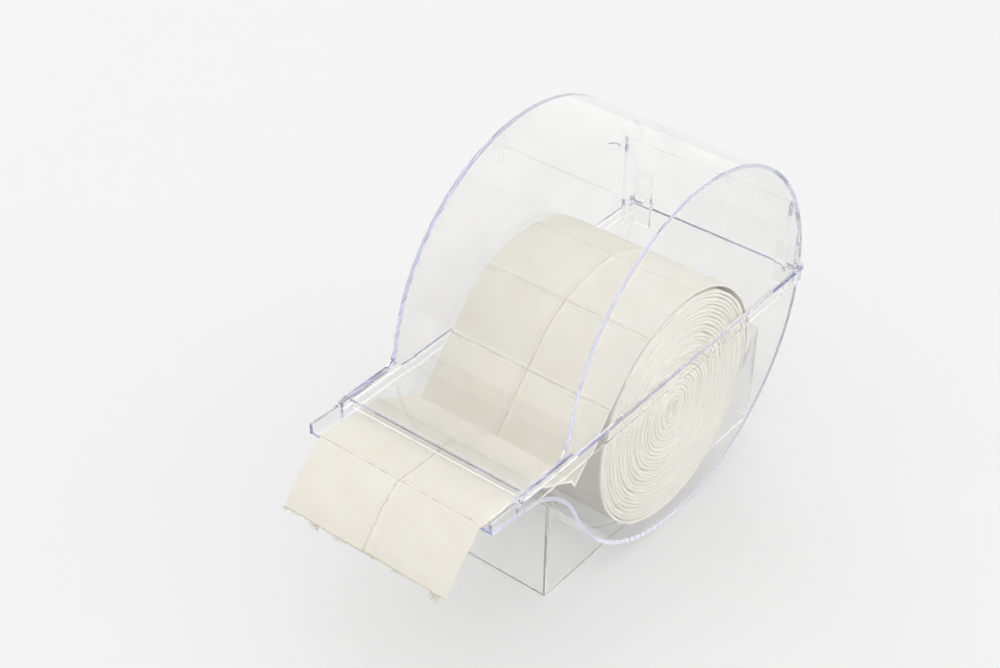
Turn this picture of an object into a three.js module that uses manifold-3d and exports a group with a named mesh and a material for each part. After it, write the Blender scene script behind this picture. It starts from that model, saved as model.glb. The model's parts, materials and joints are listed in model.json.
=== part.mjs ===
// Table dispenser for a perforated roll of cellulose swabs: a clear moulded drum on a foot,
// with a tray-shaped nose, a hinged hood and the roll whose paper comes out over the nose.
//
// Millimetres, +Z up, nose towards -Y. Side outlines are drawn as (y, z) with the drum's
// axis at (0, 0) and are extruded across the body, along X.
import * as THREE from "three";
import { mergeVertices } from "three/addons/utils/BufferGeometryUtils.js";
import Module from "manifold-3d";

// Paper: two lanes of swabs side by side, wound into a roll with no tube
const SWAB_WIDTH = 50;
const SWAB_LENGTH = 40;
const PAPER_THICKNESS = 1.8;
const PAPER_SHIFT = 2;
const LANE_GAP = 0.8;
const ROLL_RADIUS = 69.3;
const ROLL_SPREAD = 3;
const ROLL_SHIFT = -1.2;
const ROLL_LEAN = THREE.MathUtils.degToRad(5.4);
const CORE_RADIUS = 5.5;
const CORE_CRUSH = 2;
const TURN_GAP = 0.86;
const WEB_OVERHANG = 1.2;
const WEB_ROWS = 8;
const WEB_FOLD = 4;
const WEB_DIP = THREE.MathUtils.degToRad(4);
const WEB_FALL = THREE.MathUtils.degToRad(30);
const FLAP_SAG = THREE.MathUtils.degToRad(16);
const FLAP_FALL_LEFT = THREE.MathUtils.degToRad(34);
const FLAP_FALL_RIGHT = THREE.MathUtils.degToRad(38);

// Drum and walls
const DRUM_RADIUS = 107;
const WALL = 2;
const SIDE_PLAY = 3;
const GROUND_CLEARANCE = 2;
const SEAT_GAP = 0.3;

// Rim round the top of the base
const RIM_OUT = 1.6;
const RIM_HEIGHT = 6.8;
const RIM_CHAMFER = 1.4;

// Nose: a shallow tray that runs forward from the drum
const NOSE_LENGTH = 60.5;
const NOSE_DROP = 3.8;
const NOSE_SLOPE = THREE.MathUtils.degToRad(9);
const NOSE_FILLET = 57;
const NOSE_WALL_RISE = 2.6;
const TRAY_LENGTH = 20.5;

// Lid: the hood, and the plate in front of it that ends in the tear lip
const LIP_SETBACK = 5.4;
const LIP_DEPTH = 2;
const LIP_DROP = 1;
const PLATE_TOP = 4.2;
const PLATE_THICKNESS = 2;
const HOOD_FLARE = 13;
const RAIL_OVERLAP = 7;
const GATE_RADIUS = 3.4;
const GATE_DEPTH = 0.6;

// Corner lugs that hang from the lid into the back of the base
const LUG_REACH = 15;
const LUG_WIDTH = 13;
const LUG_THICKNESS = 2;
const LUG_DROP = 12;
const LUG_CORNER = 4;
const LUG_GAP = 0.5;

// Hinge at the back edge of the rim
const PIN_RADIUS = 1;
const PIN_LENGTH = 11;
const PIN_HEAD_LIP = 0.7;
const PIN_HEAD_HEIGHT = 0.7;
const KNUCKLE_WALL = 0.9;
const EAR_WALL = 1.7;

// Foot: four walls, open at the bottom, cemented under the drum
const FOOT_SIDE_INSET = 17.5;
const FOOT_END_INSET = 8.7;

// Facets: steps of an arc, of a loop of the roll, of a curved flap, of the paper that lies on
// the roll, of a fold in it and round a pin
const ARC_STEPS = 30;
const LOOP_STEPS = 24;
const FLAP_STEPS = 8;
const WRAP_STEPS = 36;
const FOLD_STEPS = 5;
const ROUND_STEPS = 24;

// Points nearer than this are one point; the roll's gap is sought this many steps either way
const MERGE_DISTANCE = 1e-4;
const GAP_SEARCH_STEPS = 2;

// Sizes that follow from the ones above
const PAPER_WIDTH = 2 * SWAB_WIDTH;
const ROLL_WIDTH = PAPER_WIDTH + ROLL_SPREAD;
const OUTER_TURN = ROLL_RADIUS - PAPER_THICKNESS / 2;
const ROLL_TURNS = Math.floor((OUTER_TURN - CORE_RADIUS) / (PAPER_THICKNESS + TURN_GAP));
const INNER_HALF = ROLL_WIDTH / 2 + SIDE_PLAY;
const HALF_WIDTH = INNER_HALF + WALL;
const RIM_HALF = HALF_WIDTH + RIM_OUT;
const AXIS_HEIGHT = DRUM_RADIUS + GROUND_CLEARANCE;
const INNER_RADIUS = DRUM_RADIUS - WALL;
const NOSE_REACH = DRUM_RADIUS + NOSE_LENGTH;
const STEP_REACH = NOSE_REACH - TRAY_LENGTH;
const LIP_REACH = STEP_REACH - LIP_SETBACK;
const PLATE_UNDER = PLATE_TOP - PLATE_THICKNESS;
const PIN_BORE = PIN_RADIUS + SEAT_GAP;
const KNUCKLE_RADIUS = PIN_BORE + KNUCKLE_WALL;
const EAR_RADIUS = PIN_BORE + EAR_WALL;
const HINGE_Y = DRUM_RADIUS - KNUCKLE_RADIUS;
const HINGE_Z = KNUCKLE_RADIUS;
const BEYOND = DRUM_RADIUS;

const wasm = await Module();
wasm.setup();

// Geometry helpers

// Turns shape space (x, y, depth) into (depth, x, y), so that outlines lie in the YZ plane.
const ACROSS = new THREE.Matrix4().makeBasis(
  new THREE.Vector3(0, 1, 0),
  new THREE.Vector3(0, 0, 1),
  new THREE.Vector3(1, 0, 0),
);

function toSolid(geometry) {
  const bare = geometry.clone();
  bare.deleteAttribute("normal");
  bare.deleteAttribute("uv");
  const merged = mergeVertices(bare, MERGE_DISTANCE);
  return new wasm.Manifold(new wasm.Mesh({
    numProp: 3,
    vertProperties: Float32Array.from(merged.attributes.position.array),
    triVerts: Uint32Array.from(merged.index.array),
  }));
}

function toGeometry(solid) {
  const mesh = solid.getMesh();
  const geometry = new THREE.BufferGeometry();
  geometry.setAttribute("position", new THREE.BufferAttribute(mesh.vertProperties, 3));
  geometry.setIndex(new THREE.BufferAttribute(mesh.triVerts, 1));
  geometry.computeVertexNormals();
  return geometry;
}

function extrudeAcross(shape, fromX, toX) {
  const geometry = new THREE.ExtrudeGeometry(shape, {
    depth: toX - fromX,
    bevelEnabled: false,
    curveSegments: ARC_STEPS,
  });
  geometry.translate(0, 0, fromX);
  geometry.applyMatrix4(ACROSS);
  return toSolid(geometry);
}

function box(fromX, toX, fromY, toY, fromZ, toZ) {
  const geometry = new THREE.BoxGeometry(toX - fromX, toY - fromY, toZ - fromZ);
  geometry.translate((fromX + toX) / 2, (fromY + toY) / 2, (fromZ + toZ) / 2);
  return toSolid(geometry);
}

// A round bar along X, between two places, about the point (y, z).
function bar(radius, fromX, toX, y, z) {
  const geometry = new THREE.CylinderGeometry(radius, radius, toX - fromX, ROUND_STEPS);
  geometry.rotateZ(-Math.PI / 2);
  geometry.translate((fromX + toX) / 2, y, z);
  return toSolid(geometry);
}

function polygon(points) {
  return new THREE.Shape(points.map(([y, z]) => new THREE.Vector2(y, z)));
}

function along(angle) {
  return new THREE.Vector2(Math.cos(angle), Math.sin(angle));
}

// A round bar on the hinge's axis, on one side of the body.
function hingeBar(radius, side, nearX, farX) {
  return bar(radius, ...span(side, nearX, farX), HINGE_Y, HINGE_Z);
}

// The stretch of X between two distances from the middle, on the left (-1) or right (1) side.
function span(side, nearX, farX) {
  return side < 0 ? [-farX, -nearX] : [nearX, farX];
}

// Side outline of the base

// The nose's floor rises forward along NOSE_AHEAD; NOSE_NORMAL points up from it.
const NOSE_AHEAD = new THREE.Vector2(-Math.cos(NOSE_SLOPE), Math.sin(NOSE_SLOPE));
const NOSE_NORMAL = new THREE.Vector2(Math.sin(NOSE_SLOPE), Math.cos(NOSE_SLOPE));
const FILLET_CENTRE = filletCentre();
const FILLET_BEARING = Math.atan2(FILLET_CENTRE.y, FILLET_CENTRE.x);

// Centre of the hollow curve that is tangent to the drum and to the nose's underside.
function filletCentre() {
  const start = new THREE.Vector2(-NOSE_REACH, -NOSE_DROP).addScaledVector(NOSE_NORMAL, -NOSE_FILLET);
  const reach = start.dot(NOSE_AHEAD);
  const distance = DRUM_RADIUS + NOSE_FILLET;
  const back = reach - Math.sqrt(reach * reach - start.lengthSq() + distance * distance);
  return start.addScaledVector(NOSE_AHEAD, -back);
}

// The point of the nose's floor line, raised by inset, at the given place in y.
function floorPoint(inset, y) {
  const base = FILLET_CENTRE.clone().addScaledVector(NOSE_NORMAL, NOSE_FILLET + inset);
  return base.addScaledVector(NOSE_AHEAD, (y - base.x) / NOSE_AHEAD.x);
}

// Drum, hollow curve and nose in one outline, set in by inset and closed at front and top.
function bowlOutline(inset, front, top) {
  const shape = new THREE.Shape();
  const rear = DRUM_RADIUS - inset;
  const noseEnd = floorPoint(inset, front);
  const floorBearing = Math.atan2(NOSE_NORMAL.y, NOSE_NORMAL.x);
  shape.moveTo(rear, top);
  shape.lineTo(rear, 0);
  shape.absarc(0, 0, rear, 0, FILLET_BEARING, true);
  const { x, y } = FILLET_CENTRE;
  shape.absarc(x, y, NOSE_FILLET + inset, FILLET_BEARING + Math.PI, floorBearing, false);
  shape.lineTo(noseEnd.x, noseEnd.y);
  shape.lineTo(front, top);
  shape.closePath();
  return shape;
}

// Base shell

// The ears that carry the hinge pins stand on the rim, outside the lid's side walls.
function earOutline() {
  const shape = new THREE.Shape();
  shape.moveTo(HINGE_Y - EAR_RADIUS, -RIM_HEIGHT / 2);
  shape.lineTo(DRUM_RADIUS - RIM_OUT, -RIM_HEIGHT / 2);
  shape.lineTo(HINGE_Y + EAR_RADIUS, HINGE_Z);
  shape.absarc(HINGE_Y, HINGE_Z, EAR_RADIUS, 0, Math.PI, false);
  shape.closePath();
  return shape;
}

function baseShell() {
  const outline = bowlOutline(0, -NOSE_REACH, NOSE_WALL_RISE);
  const hollow = bowlOutline(WALL, -NOSE_REACH - BEYOND, BEYOND);
  const rim = extrudeAcross(outline, -RIM_HALF, RIM_HALF)
    .intersect(box(-BEYOND, BEYOND, -2 * BEYOND, BEYOND, -RIM_HEIGHT, BEYOND));
  const lidSeat = polygon([
    [-STEP_REACH, BEYOND],
    [-STEP_REACH, -SEAT_GAP],
    [DRUM_RADIUS - RIM_CHAMFER, -SEAT_GAP],
    [DRUM_RADIUS + RIM_CHAMFER, -SEAT_GAP - 2 * RIM_CHAMFER],
    [2 * DRUM_RADIUS, BEYOND],
  ]);
  const tray = extrudeAcross(hollow, WALL - RIM_HALF, RIM_HALF - WALL)
    .intersect(box(-BEYOND, BEYOND, -NOSE_REACH - BEYOND, -STEP_REACH, -BEYOND, BEYOND));
  let shell = extrudeAcross(outline, -HALF_WIDTH, HALF_WIDTH)
    .add(rim)
    .subtract(extrudeAcross(hollow, -INNER_HALF, INNER_HALF))
    .subtract(tray)
    .subtract(extrudeAcross(lidSeat, -BEYOND, BEYOND));
  for (const side of [-1, 1]) {
    const ear = extrudeAcross(earOutline(), ...span(side, HALF_WIDTH + SEAT_GAP, RIM_HALF));
    shell = shell
      .add(ear)
      .subtract(hingeBar(PIN_BORE, side, HALF_WIDTH, RIM_HALF + WALL));
  }
  return shell;
}

// Foot

function footStand() {
  const halfLength = DRUM_RADIUS - FOOT_END_INSET;
  const halfWidth = HALF_WIDTH - FOOT_SIDE_INSET;
  const seat = bowlOutline(-SEAT_GAP, -NOSE_REACH, BEYOND);
  return box(-halfWidth, halfWidth, -halfLength, halfLength, -AXIS_HEIGHT, 0)
    .subtract(box(
      WALL - halfWidth,
      halfWidth - WALL,
      WALL - halfLength,
      halfLength - WALL,
      -AXIS_HEIGHT - WALL,
      WALL,
    ))
    .subtract(extrudeAcross(seat, -HALF_WIDTH, HALF_WIDTH));
}

// Lid

// Centre of the flare, the hollow curve by which the hood runs out into the plate.
const FLARE_Z = PLATE_TOP + HOOD_FLARE;
const FLARE_Y = -Math.sqrt((DRUM_RADIUS + HOOD_FLARE) ** 2 - FLARE_Z ** 2);
const FLARE_BEARING = Math.atan2(FLARE_Z, FLARE_Y);

// Adds the flare to a side outline of the lid, set in by inset, from the hood to the plate.
function addFlare(shape, inset) {
  shape.absarc(FLARE_Y, FLARE_Z, HOOD_FLARE + inset, FLARE_BEARING - Math.PI, -Math.PI / 2, true);
}

// Hood and plate from the side. The back edge is round about the hinge, so that it clears the
// base as the lid turns.
function lidOutline() {
  const shape = new THREE.Shape();
  shape.moveTo(-LIP_REACH, 0);
  shape.lineTo(HINGE_Y, 0);
  shape.absarc(HINGE_Y, HINGE_Z, KNUCKLE_RADIUS, -Math.PI / 2, 0, false);
  shape.absarc(0, 0, DRUM_RADIUS, Math.asin(HINGE_Z / DRUM_RADIUS), FLARE_BEARING, false);
  addFlare(shape, 0);
  shape.lineTo(-LIP_REACH, PLATE_TOP);
  shape.closePath();
  return shape;
}

// What is taken out inside the lid: the drum's upper half and the chute under the plate.
function lidHollow() {
  const shape = new THREE.Shape();
  shape.moveTo(-LIP_REACH - BEYOND, -BEYOND);
  shape.lineTo(INNER_RADIUS, -BEYOND);
  shape.lineTo(INNER_RADIUS, 0);
  shape.absarc(0, 0, INNER_RADIUS, 0, FLARE_BEARING, false);
  addFlare(shape, WALL);
  shape.lineTo(-LIP_REACH - BEYOND, PLATE_UNDER);
  shape.closePath();
  return shape;
}

// One leg of a lug lies along the side wall, the other along the back wall.
function lug(side) {
  const outer = INNER_HALF - LUG_GAP;
  const front = DRUM_RADIUS - LUG_REACH;
  const back = Math.sqrt(INNER_RADIUS ** 2 - LUG_DROP ** 2) - LUG_GAP;
  const sideLeg = new THREE.Shape();
  sideLeg.moveTo(front, BEYOND);
  sideLeg.lineTo(front, LUG_CORNER - LUG_DROP);
  sideLeg.absarc(front + LUG_CORNER, LUG_CORNER - LUG_DROP, LUG_CORNER, Math.PI, 1.5 * Math.PI, false);
  sideLeg.lineTo(back, -LUG_DROP);
  sideLeg.lineTo(back, BEYOND);
  sideLeg.closePath();
  const backLeg = polygon([
    [back - LUG_THICKNESS, -LUG_DROP],
    [back, -LUG_DROP],
    [back, BEYOND],
    [back - LUG_THICKNESS, BEYOND],
  ]);
  const legs = extrudeAcross(sideLeg, ...span(side, outer - LUG_THICKNESS, outer))
    .add(extrudeAcross(backLeg, ...span(side, INNER_HALF - LUG_WIDTH, outer)));
  const [fromX, toX] = span(side, outer - LUG_THICKNESS, INNER_HALF + WALL / 2);
  const root = extrudeAcross(sideLeg, fromX, toX)
    .intersect(box(-BEYOND, BEYOND, 0, BEYOND, PLATE_UNDER, BEYOND));
  return legs.add(root);
}

function lidHood() {
  const crown = new THREE.Shape();
  crown.absarc(0, 0, INNER_RADIUS + WALL / 2, 0, 2 * Math.PI, false);
  const inside = extrudeAcross(crown, -HALF_WIDTH, HALF_WIDTH);
  const gate = new THREE.CylinderGeometry(GATE_RADIUS, GATE_RADIUS, 2 * GATE_DEPTH, ROUND_STEPS);
  gate.rotateX(Math.PI / 2);
  gate.translate(0, 0, DRUM_RADIUS);
  const lipBack = LIP_DEPTH - LIP_REACH;
  const lipHalf = INNER_HALF - LUG_GAP;
  const lip = box(-INNER_HALF, INNER_HALF, -LIP_REACH, lipBack, 0, PLATE_TOP)
    .add(box(-lipHalf, lipHalf, -LIP_REACH, lipBack, -LIP_DROP, PLATE_TOP));
  let lid = extrudeAcross(lidOutline(), -HALF_WIDTH, HALF_WIDTH)
    .subtract(extrudeAcross(lidHollow(), -INNER_HALF, INNER_HALF))
    .subtract(toSolid(gate))
    .add(lip);
  for (const side of [-1, 1]) {
    const railBack = RAIL_OVERLAP - DRUM_RADIUS;
    const rail = polygon([
      [SEAT_GAP - STEP_REACH, 0],
      [railBack, 0],
      [railBack - PLATE_TOP, PLATE_TOP],
      [SEAT_GAP - STEP_REACH, PLATE_TOP],
    ]);
    const knuckle = hingeBar(KNUCKLE_RADIUS, side, INNER_HALF - LUG_WIDTH, HALF_WIDTH);
    const bore = hingeBar(PIN_BORE, side, RIM_HALF - PIN_LENGTH - SEAT_GAP, RIM_HALF);
    lid = lid
      .add(extrudeAcross(rail, ...span(side, INNER_HALF, RIM_HALF)))
      .add(lug(side).intersect(inside))
      .add(knuckle)
      .subtract(bore);
  }
  return lid;
}

// Hinge pin: pushed in through the ear, with a flat head outside

function hingePin(side) {
  const headX = RIM_HALF + SEAT_GAP;
  const head = hingeBar(PIN_RADIUS + PIN_HEAD_LIP, side, headX, headX + PIN_HEAD_HEIGHT);
  const shank = hingeBar(PIN_RADIUS, side, RIM_HALF - PIN_LENGTH, headX + PIN_HEAD_HEIGHT / 2);
  return shank.add(head);
}

// Paper

// A flat strip of paper that follows a path of (y, z) points, between two places across.
function paperStrip(path, fromX, toX) {
  const corners = [];
  path.forEach((point, i) => {
    const before = path[Math.max(i - 1, 0)];
    const after = path[Math.min(i + 1, path.length - 1)];
    const run = after.clone().sub(before).normalize();
    const out = new THREE.Vector2(-run.y, run.x).multiplyScalar(PAPER_THICKNESS / 2);
    const left = point.clone().add(out);
    const right = point.clone().sub(out);
    corners.push([fromX, left], [toX, left], [toX, right], [fromX, right]);
  });
  const index = [];
  const quad = (a, b, c, d) => index.push(a, b, c, a, c, d);
  for (let i = 0; i + 1 < path.length; i += 1) {
    for (let k = 0; k < 4; k += 1) {
      const next = (k + 1) % 4;
      quad(4 * i + k, 4 * i + next, 4 * i + 4 + next, 4 * i + 4 + k);
    }
  }
  const last = 4 * path.length - 4;
  quad(3, 2, 1, 0);
  quad(last, last + 1, last + 2, last + 3);
  const geometry = new THREE.BufferGeometry();
  const position = corners.flatMap(([x, point]) => [x, point.x, point.y]);
  geometry.setAttribute("position", new THREE.Float32BufferAttribute(position, 3));
  geometry.setIndex(index);
  geometry.computeVertexNormals();
  return geometry;
}

// The roll rests on the bottom of the drum, drawn a little forward by the paper.
const ROLL_OFFSET = INNER_RADIUS - SEAT_GAP - ROLL_RADIUS;
const ROLL_BEARING = -Math.PI / 2 - ROLL_LEAN;
const ROLL_CENTRE = along(ROLL_BEARING).multiplyScalar(ROLL_OFFSET);

// The web folds over the front edge of the nose, and again at two perforations further back.
const NOSE_FOLD = floorPoint(WALL + SEAT_GAP + PAPER_THICKNESS / 2, -NOSE_REACH - WEB_OVERHANG);
const HIGH_FOLD = NOSE_FOLD.clone().addScaledVector(along(-WEB_DIP), SWAB_LENGTH);
const LOW_FOLD = HIGH_FOLD.clone().addScaledVector(along(-WEB_FALL), SWAB_LENGTH);

// From the low fold it runs straight to the roll and lies on it.
const WRAP_RADIUS = ROLL_RADIUS + SEAT_GAP + PAPER_THICKNESS / 2;
const FOLD_ARM = LOW_FOLD.clone().sub(ROLL_CENTRE);
const WRAP_BEARING = FOLD_ARM.angle() - Math.acos(WRAP_RADIUS / FOLD_ARM.length());

// A spiral from the crushed core out to the tail, which ends where the web leaves the roll.
function rollPath() {
  const steps = ROLL_TURNS * LOOP_STEPS;
  const path = [];
  for (let i = 0; i <= steps; i += 1) {
    const share = i / steps;
    const bearing = WRAP_BEARING - 2 * Math.PI * ROLL_TURNS * (1 - share);
    const crush = -CORE_CRUSH * (1 - share) ** 2 * Math.cos(2 * bearing);
    const radius = CORE_RADIUS + (OUTER_TURN - CORE_RADIUS) * share + crush;
    path.push(along(bearing).multiplyScalar(radius).add(ROLL_CENTRE));
  }
  return path;
}

// Least clear space between one turn of the roll and the next, at points one turn apart.
function leastTurnGap(path) {
  let least = Infinity;
  for (let i = 0; i + LOOP_STEPS < path.length; i += 1) {
    for (let k = -GAP_SEARCH_STEPS; k <= GAP_SEARCH_STEPS; k += 1) {
      const other = path[Math.min(i + LOOP_STEPS + k, path.length - 1)];
      least = Math.min(least, path[i].distanceTo(other) - PAPER_THICKNESS);
    }
  }
  return least;
}

// Over the top of the roll, down to the low fold and up and forward over the nose.
function webPath() {
  const straight = Math.sqrt(FOLD_ARM.lengthSq() - WRAP_RADIUS ** 2);
  const wrapped = WEB_ROWS * SWAB_LENGTH - 2 * SWAB_LENGTH - straight;
  const step = wrapped / WRAP_RADIUS / WRAP_STEPS;
  const facetRadius = WRAP_RADIUS / Math.cos(step / 2);
  const path = [];
  for (let i = 0; i <= WRAP_STEPS; i += 1) {
    const bearing = WRAP_BEARING - step * (WRAP_STEPS - i);
    path.push(along(bearing).multiplyScalar(facetRadius).add(ROLL_CENTRE));
  }
  return [
    ...path,
    ...foldPoints(path[WRAP_STEPS], LOW_FOLD, HIGH_FOLD),
    ...foldPoints(LOW_FOLD, HIGH_FOLD, NOSE_FOLD),
    NOSE_FOLD,
  ];
}

// A fold with a small round in place of a sharp corner.
function foldPoints(before, fold, after) {
  const start = before.clone().sub(fold).setLength(WEB_FOLD).add(fold);
  const end = after.clone().sub(fold).setLength(WEB_FOLD).add(fold);
  return new THREE.QuadraticBezierCurve(start, fold, end).getPoints(FOLD_STEPS);
}

// A lead swab folds down at the perforation and bends a little further towards its torn end.
function flapPath(fall) {
  const fold = PAPER_THICKNESS * Math.tan((WEB_DIP + fall) / 2) + SEAT_GAP;
  const point = NOSE_FOLD.clone().addScaledVector(along(Math.PI - WEB_DIP), fold);
  const path = [point.clone()];
  for (let i = 0; i < FLAP_STEPS; i += 1) {
    const angle = Math.PI + fall + FLAP_SAG * ((i + 0.5) / FLAP_STEPS);
    point.addScaledVector(along(angle), SWAB_LENGTH / FLAP_STEPS);
    path.push(point.clone());
  }
  return path;
}

// Assembly

const clearPlastic = new THREE.MeshStandardMaterial({
  color: 0xe9eaf4,
  roughness: 0.08,
  metalness: 0,
  transparent: true,
  opacity: 0.3,
});
const pinPlastic = new THREE.MeshStandardMaterial({ color: 0xc9c9dc, roughness: 0.2, metalness: 0 });
const cellulose = new THREE.MeshStandardMaterial({ color: 0xebe7dc, roughness: 0.95, metalness: 0 });

const drum = new THREE.Group();
drum.position.z = AXIS_HEIGHT;

function place(name, geometry, material) {
  const mesh = new THREE.Mesh(geometry, material);
  mesh.name = name;
  drum.add(mesh);
}

place("base_shell", toGeometry(baseShell()), clearPlastic);
place("foot_stand", toGeometry(footStand()), clearPlastic);
place("lid_hood", toGeometry(lidHood()), clearPlastic);
place("hinge_pin_left", toGeometry(hingePin(-1)), pinPlastic);
place("hinge_pin_right", toGeometry(hingePin(1)), pinPlastic);

const wound = rollPath();
console.log(`least gap between turns of the roll: ${leastTurnGap(wound).toFixed(2)} mm`);
const paperLeft = PAPER_SHIFT - PAPER_WIDTH / 2;
const paperRight = PAPER_SHIFT + PAPER_WIDTH / 2;
const laneLeft = PAPER_SHIFT - LANE_GAP / 2;
const laneRight = PAPER_SHIFT + LANE_GAP / 2;
place("swab_roll", paperStrip(wound, ROLL_SHIFT - ROLL_WIDTH / 2, ROLL_SHIFT + ROLL_WIDTH / 2), cellulose);
place("swab_web", paperStrip(webPath(), paperLeft, paperRight), cellulose);
place("lead_swab_left", paperStrip(flapPath(FLAP_FALL_LEFT), paperLeft, laneLeft), cellulose);
place("lead_swab_right", paperStrip(flapPath(FLAP_FALL_RIGHT), laneRight, paperRight), cellulose);

// The origin lies on the table, under the middle of the whole object.
const dispenser = new THREE.Group();
dispenser.add(drum);
const extent = new THREE.Box3().setFromObject(dispenser);
drum.position.y = -(extent.min.y + extent.max.y) / 2;

export default dispenser;
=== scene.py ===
# %% [markdown]
# # A clear dispenser for a roll of swabs
# The object is a clear moulded drum on a foot. A hood hinges open at the back, a roll of
# perforated cellulose lies inside, and its paper comes out over a shallow nose. The packed
# model is loaded first as a fixed frame, so that every piece made here lands where the real
# one is. All lengths are metres.

# %% Load the frame
import json
import math

import bmesh
import bpy
import numpy as np
from mathutils import Matrix, Vector


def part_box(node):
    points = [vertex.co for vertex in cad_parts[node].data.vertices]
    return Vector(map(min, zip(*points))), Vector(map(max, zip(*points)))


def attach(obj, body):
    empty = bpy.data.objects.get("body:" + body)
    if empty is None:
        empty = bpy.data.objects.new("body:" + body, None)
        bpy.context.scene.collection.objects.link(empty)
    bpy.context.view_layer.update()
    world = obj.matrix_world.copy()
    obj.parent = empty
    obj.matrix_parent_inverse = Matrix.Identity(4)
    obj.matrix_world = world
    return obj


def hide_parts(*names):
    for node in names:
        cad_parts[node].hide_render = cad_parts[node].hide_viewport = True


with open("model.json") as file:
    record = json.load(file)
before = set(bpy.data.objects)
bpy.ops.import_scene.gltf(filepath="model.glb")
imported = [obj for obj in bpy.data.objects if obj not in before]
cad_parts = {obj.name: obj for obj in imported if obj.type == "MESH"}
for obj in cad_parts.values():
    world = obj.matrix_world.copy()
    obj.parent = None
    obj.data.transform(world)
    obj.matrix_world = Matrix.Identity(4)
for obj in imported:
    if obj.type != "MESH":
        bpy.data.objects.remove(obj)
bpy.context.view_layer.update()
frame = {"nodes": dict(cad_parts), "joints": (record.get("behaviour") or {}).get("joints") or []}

MM = 0.001
JOINTS = {joint["name"]: joint for joint in frame["joints"]}
print("nodes:", sorted(frame["nodes"]))

# %% [markdown]
# The camera comes before the object, because every later choice is judged through it. It
# stands in front, to the right and above, with a long lens that keeps the drum's circles from
# looking stretched. Its axes are built from three angles, which is easier to adjust than a
# rotation copied from a viewport.

# %% Camera
CAMERA_PLACE = Vector((0.4520, -0.6157, 0.6970))
CAMERA_YAW = math.radians(38.33)
CAMERA_PITCH = math.radians(36.89)
CAMERA_ROLL = math.radians(0.77)
CAMERA_LENS_MM = 66.58


def add_object(name, data):
    made = bpy.data.objects.new(name, data)
    bpy.context.scene.collection.objects.link(made)
    return made


def make_camera():
    camera = add_object("camera", bpy.data.cameras.new("camera"))
    camera.data.lens = CAMERA_LENS_MM
    level = math.cos(CAMERA_PITCH)
    back = Vector((
        math.sin(CAMERA_YAW) * level,
        -math.cos(CAMERA_YAW) * level,
        math.sin(CAMERA_PITCH),
    ))
    side = Vector((math.cos(CAMERA_YAW), math.sin(CAMERA_YAW), 0))
    above = back.cross(side)
    right = side * math.cos(CAMERA_ROLL) + above * math.sin(CAMERA_ROLL)
    up = above * math.cos(CAMERA_ROLL) - side * math.sin(CAMERA_ROLL)
    turn = Matrix((right, up, back)).transposed().to_4x4()
    camera.matrix_world = Matrix.Translation(CAMERA_PLACE) @ turn
    bpy.context.scene.camera = camera


make_camera()
print("camera at", tuple(CAMERA_PLACE))

# %% [markdown]
# Shapes, finishes and light are all node trees here, and a small helper wires them: it makes a
# node, fills its sockets in order with numbers or with other nodes' outputs, and hands back its
# first output. Trees then read almost like formulas.

# %% Node helpers
def wire(tree, kind, *inputs, **settings):
    node = tree.nodes.new(kind)
    for name, value in settings.items():
        setattr(node, name, value)
    for socket, value in zip(node.inputs, inputs):
        if isinstance(value, bpy.types.NodeSocket):
            tree.links.new(value, socket)
        elif value is not None:
            socket.default_value = value
    return node.outputs[0]


def maths(tree, operation, *inputs):
    return wire(tree, "ShaderNodeMath", *inputs, operation=operation)


def vectors(tree, operation, *inputs):
    return wire(tree, "ShaderNodeVectorMath", *inputs, operation=operation)


def scaled(tree, vector, factor):
    return vectors(tree, "SCALE", vector, None, None, factor)


def vector_of(tree, x, y, z):
    return wire(tree, "ShaderNodeCombineXYZ", x, y, z)


def ramp(tree, value, start, end, low, high):
    return wire(
        tree, "ShaderNodeMapRange", value, start, end, low, high, interpolation_type="SMOOTHSTEP"
    )


def noise(tree, place, scale, detail, roughness):
    return wire(tree, "ShaderNodeTexNoise", place, None, scale, detail, roughness)


def mix_colours(tree, factor, first, second):
    for_other_types = [None] * 5
    mixed = wire(tree, "ShaderNodeMix", factor, *for_other_types, first, second, data_type="RGBA")
    return mixed.node.outputs[2]


print("node helpers ready")

# %% [markdown]
# A tree that is used more than once becomes a group with named inputs and outputs, like a
# function with arguments. This helper makes an empty group and hands back both ends of it.

# %% Node groups
NUMBER = "NodeSocketFloat"
WHOLE = "NodeSocketInt"
COLOUR = "NodeSocketColor"
VECTOR = "NodeSocketVector"
SHAPE = "NodeSocketGeometry"
FINISH = "NodeSocketMaterial"


def new_group(name, kind, inputs, outputs):
    tree = bpy.data.node_groups.new(name, kind)
    for title, socket, value in inputs:
        made = tree.interface.new_socket(title, in_out="INPUT", socket_type=socket)
        if value is not None:
            made.default_value = value
    for title, socket in outputs:
        tree.interface.new_socket(title, in_out="OUTPUT", socket_type=socket)
    given = tree.nodes.new("NodeGroupInput").outputs
    result = tree.nodes.new("NodeGroupOutput").inputs
    return tree, given, result


print("node groups ready")

# %% [markdown]
# Clear plastic shows little but what surrounds it, so the studio is part of the finish. The
# floor is nearly white to the camera and to what the plastic mirrors and lets through. Brighter
# lamps would do that too, but would bleach the paper. Here part of its tone glows for such rays
# alone and the rest is lit, and so it keeps the soft shadow.

# %% Floor
WHITE = (1, 1, 1, 1)
FLOOR_TONE = (0.50, 0.50, 0.50, 1)
FLOOR_GLOW = 0.39
FLOOR_ROUGHNESS = 0.9
FLOOR_GLOSS = 0.1
FLOOR_RADIUS = 6.0
FLOOR_SIDES = 96
FLOOR_DROP = 0.1 * MM


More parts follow.
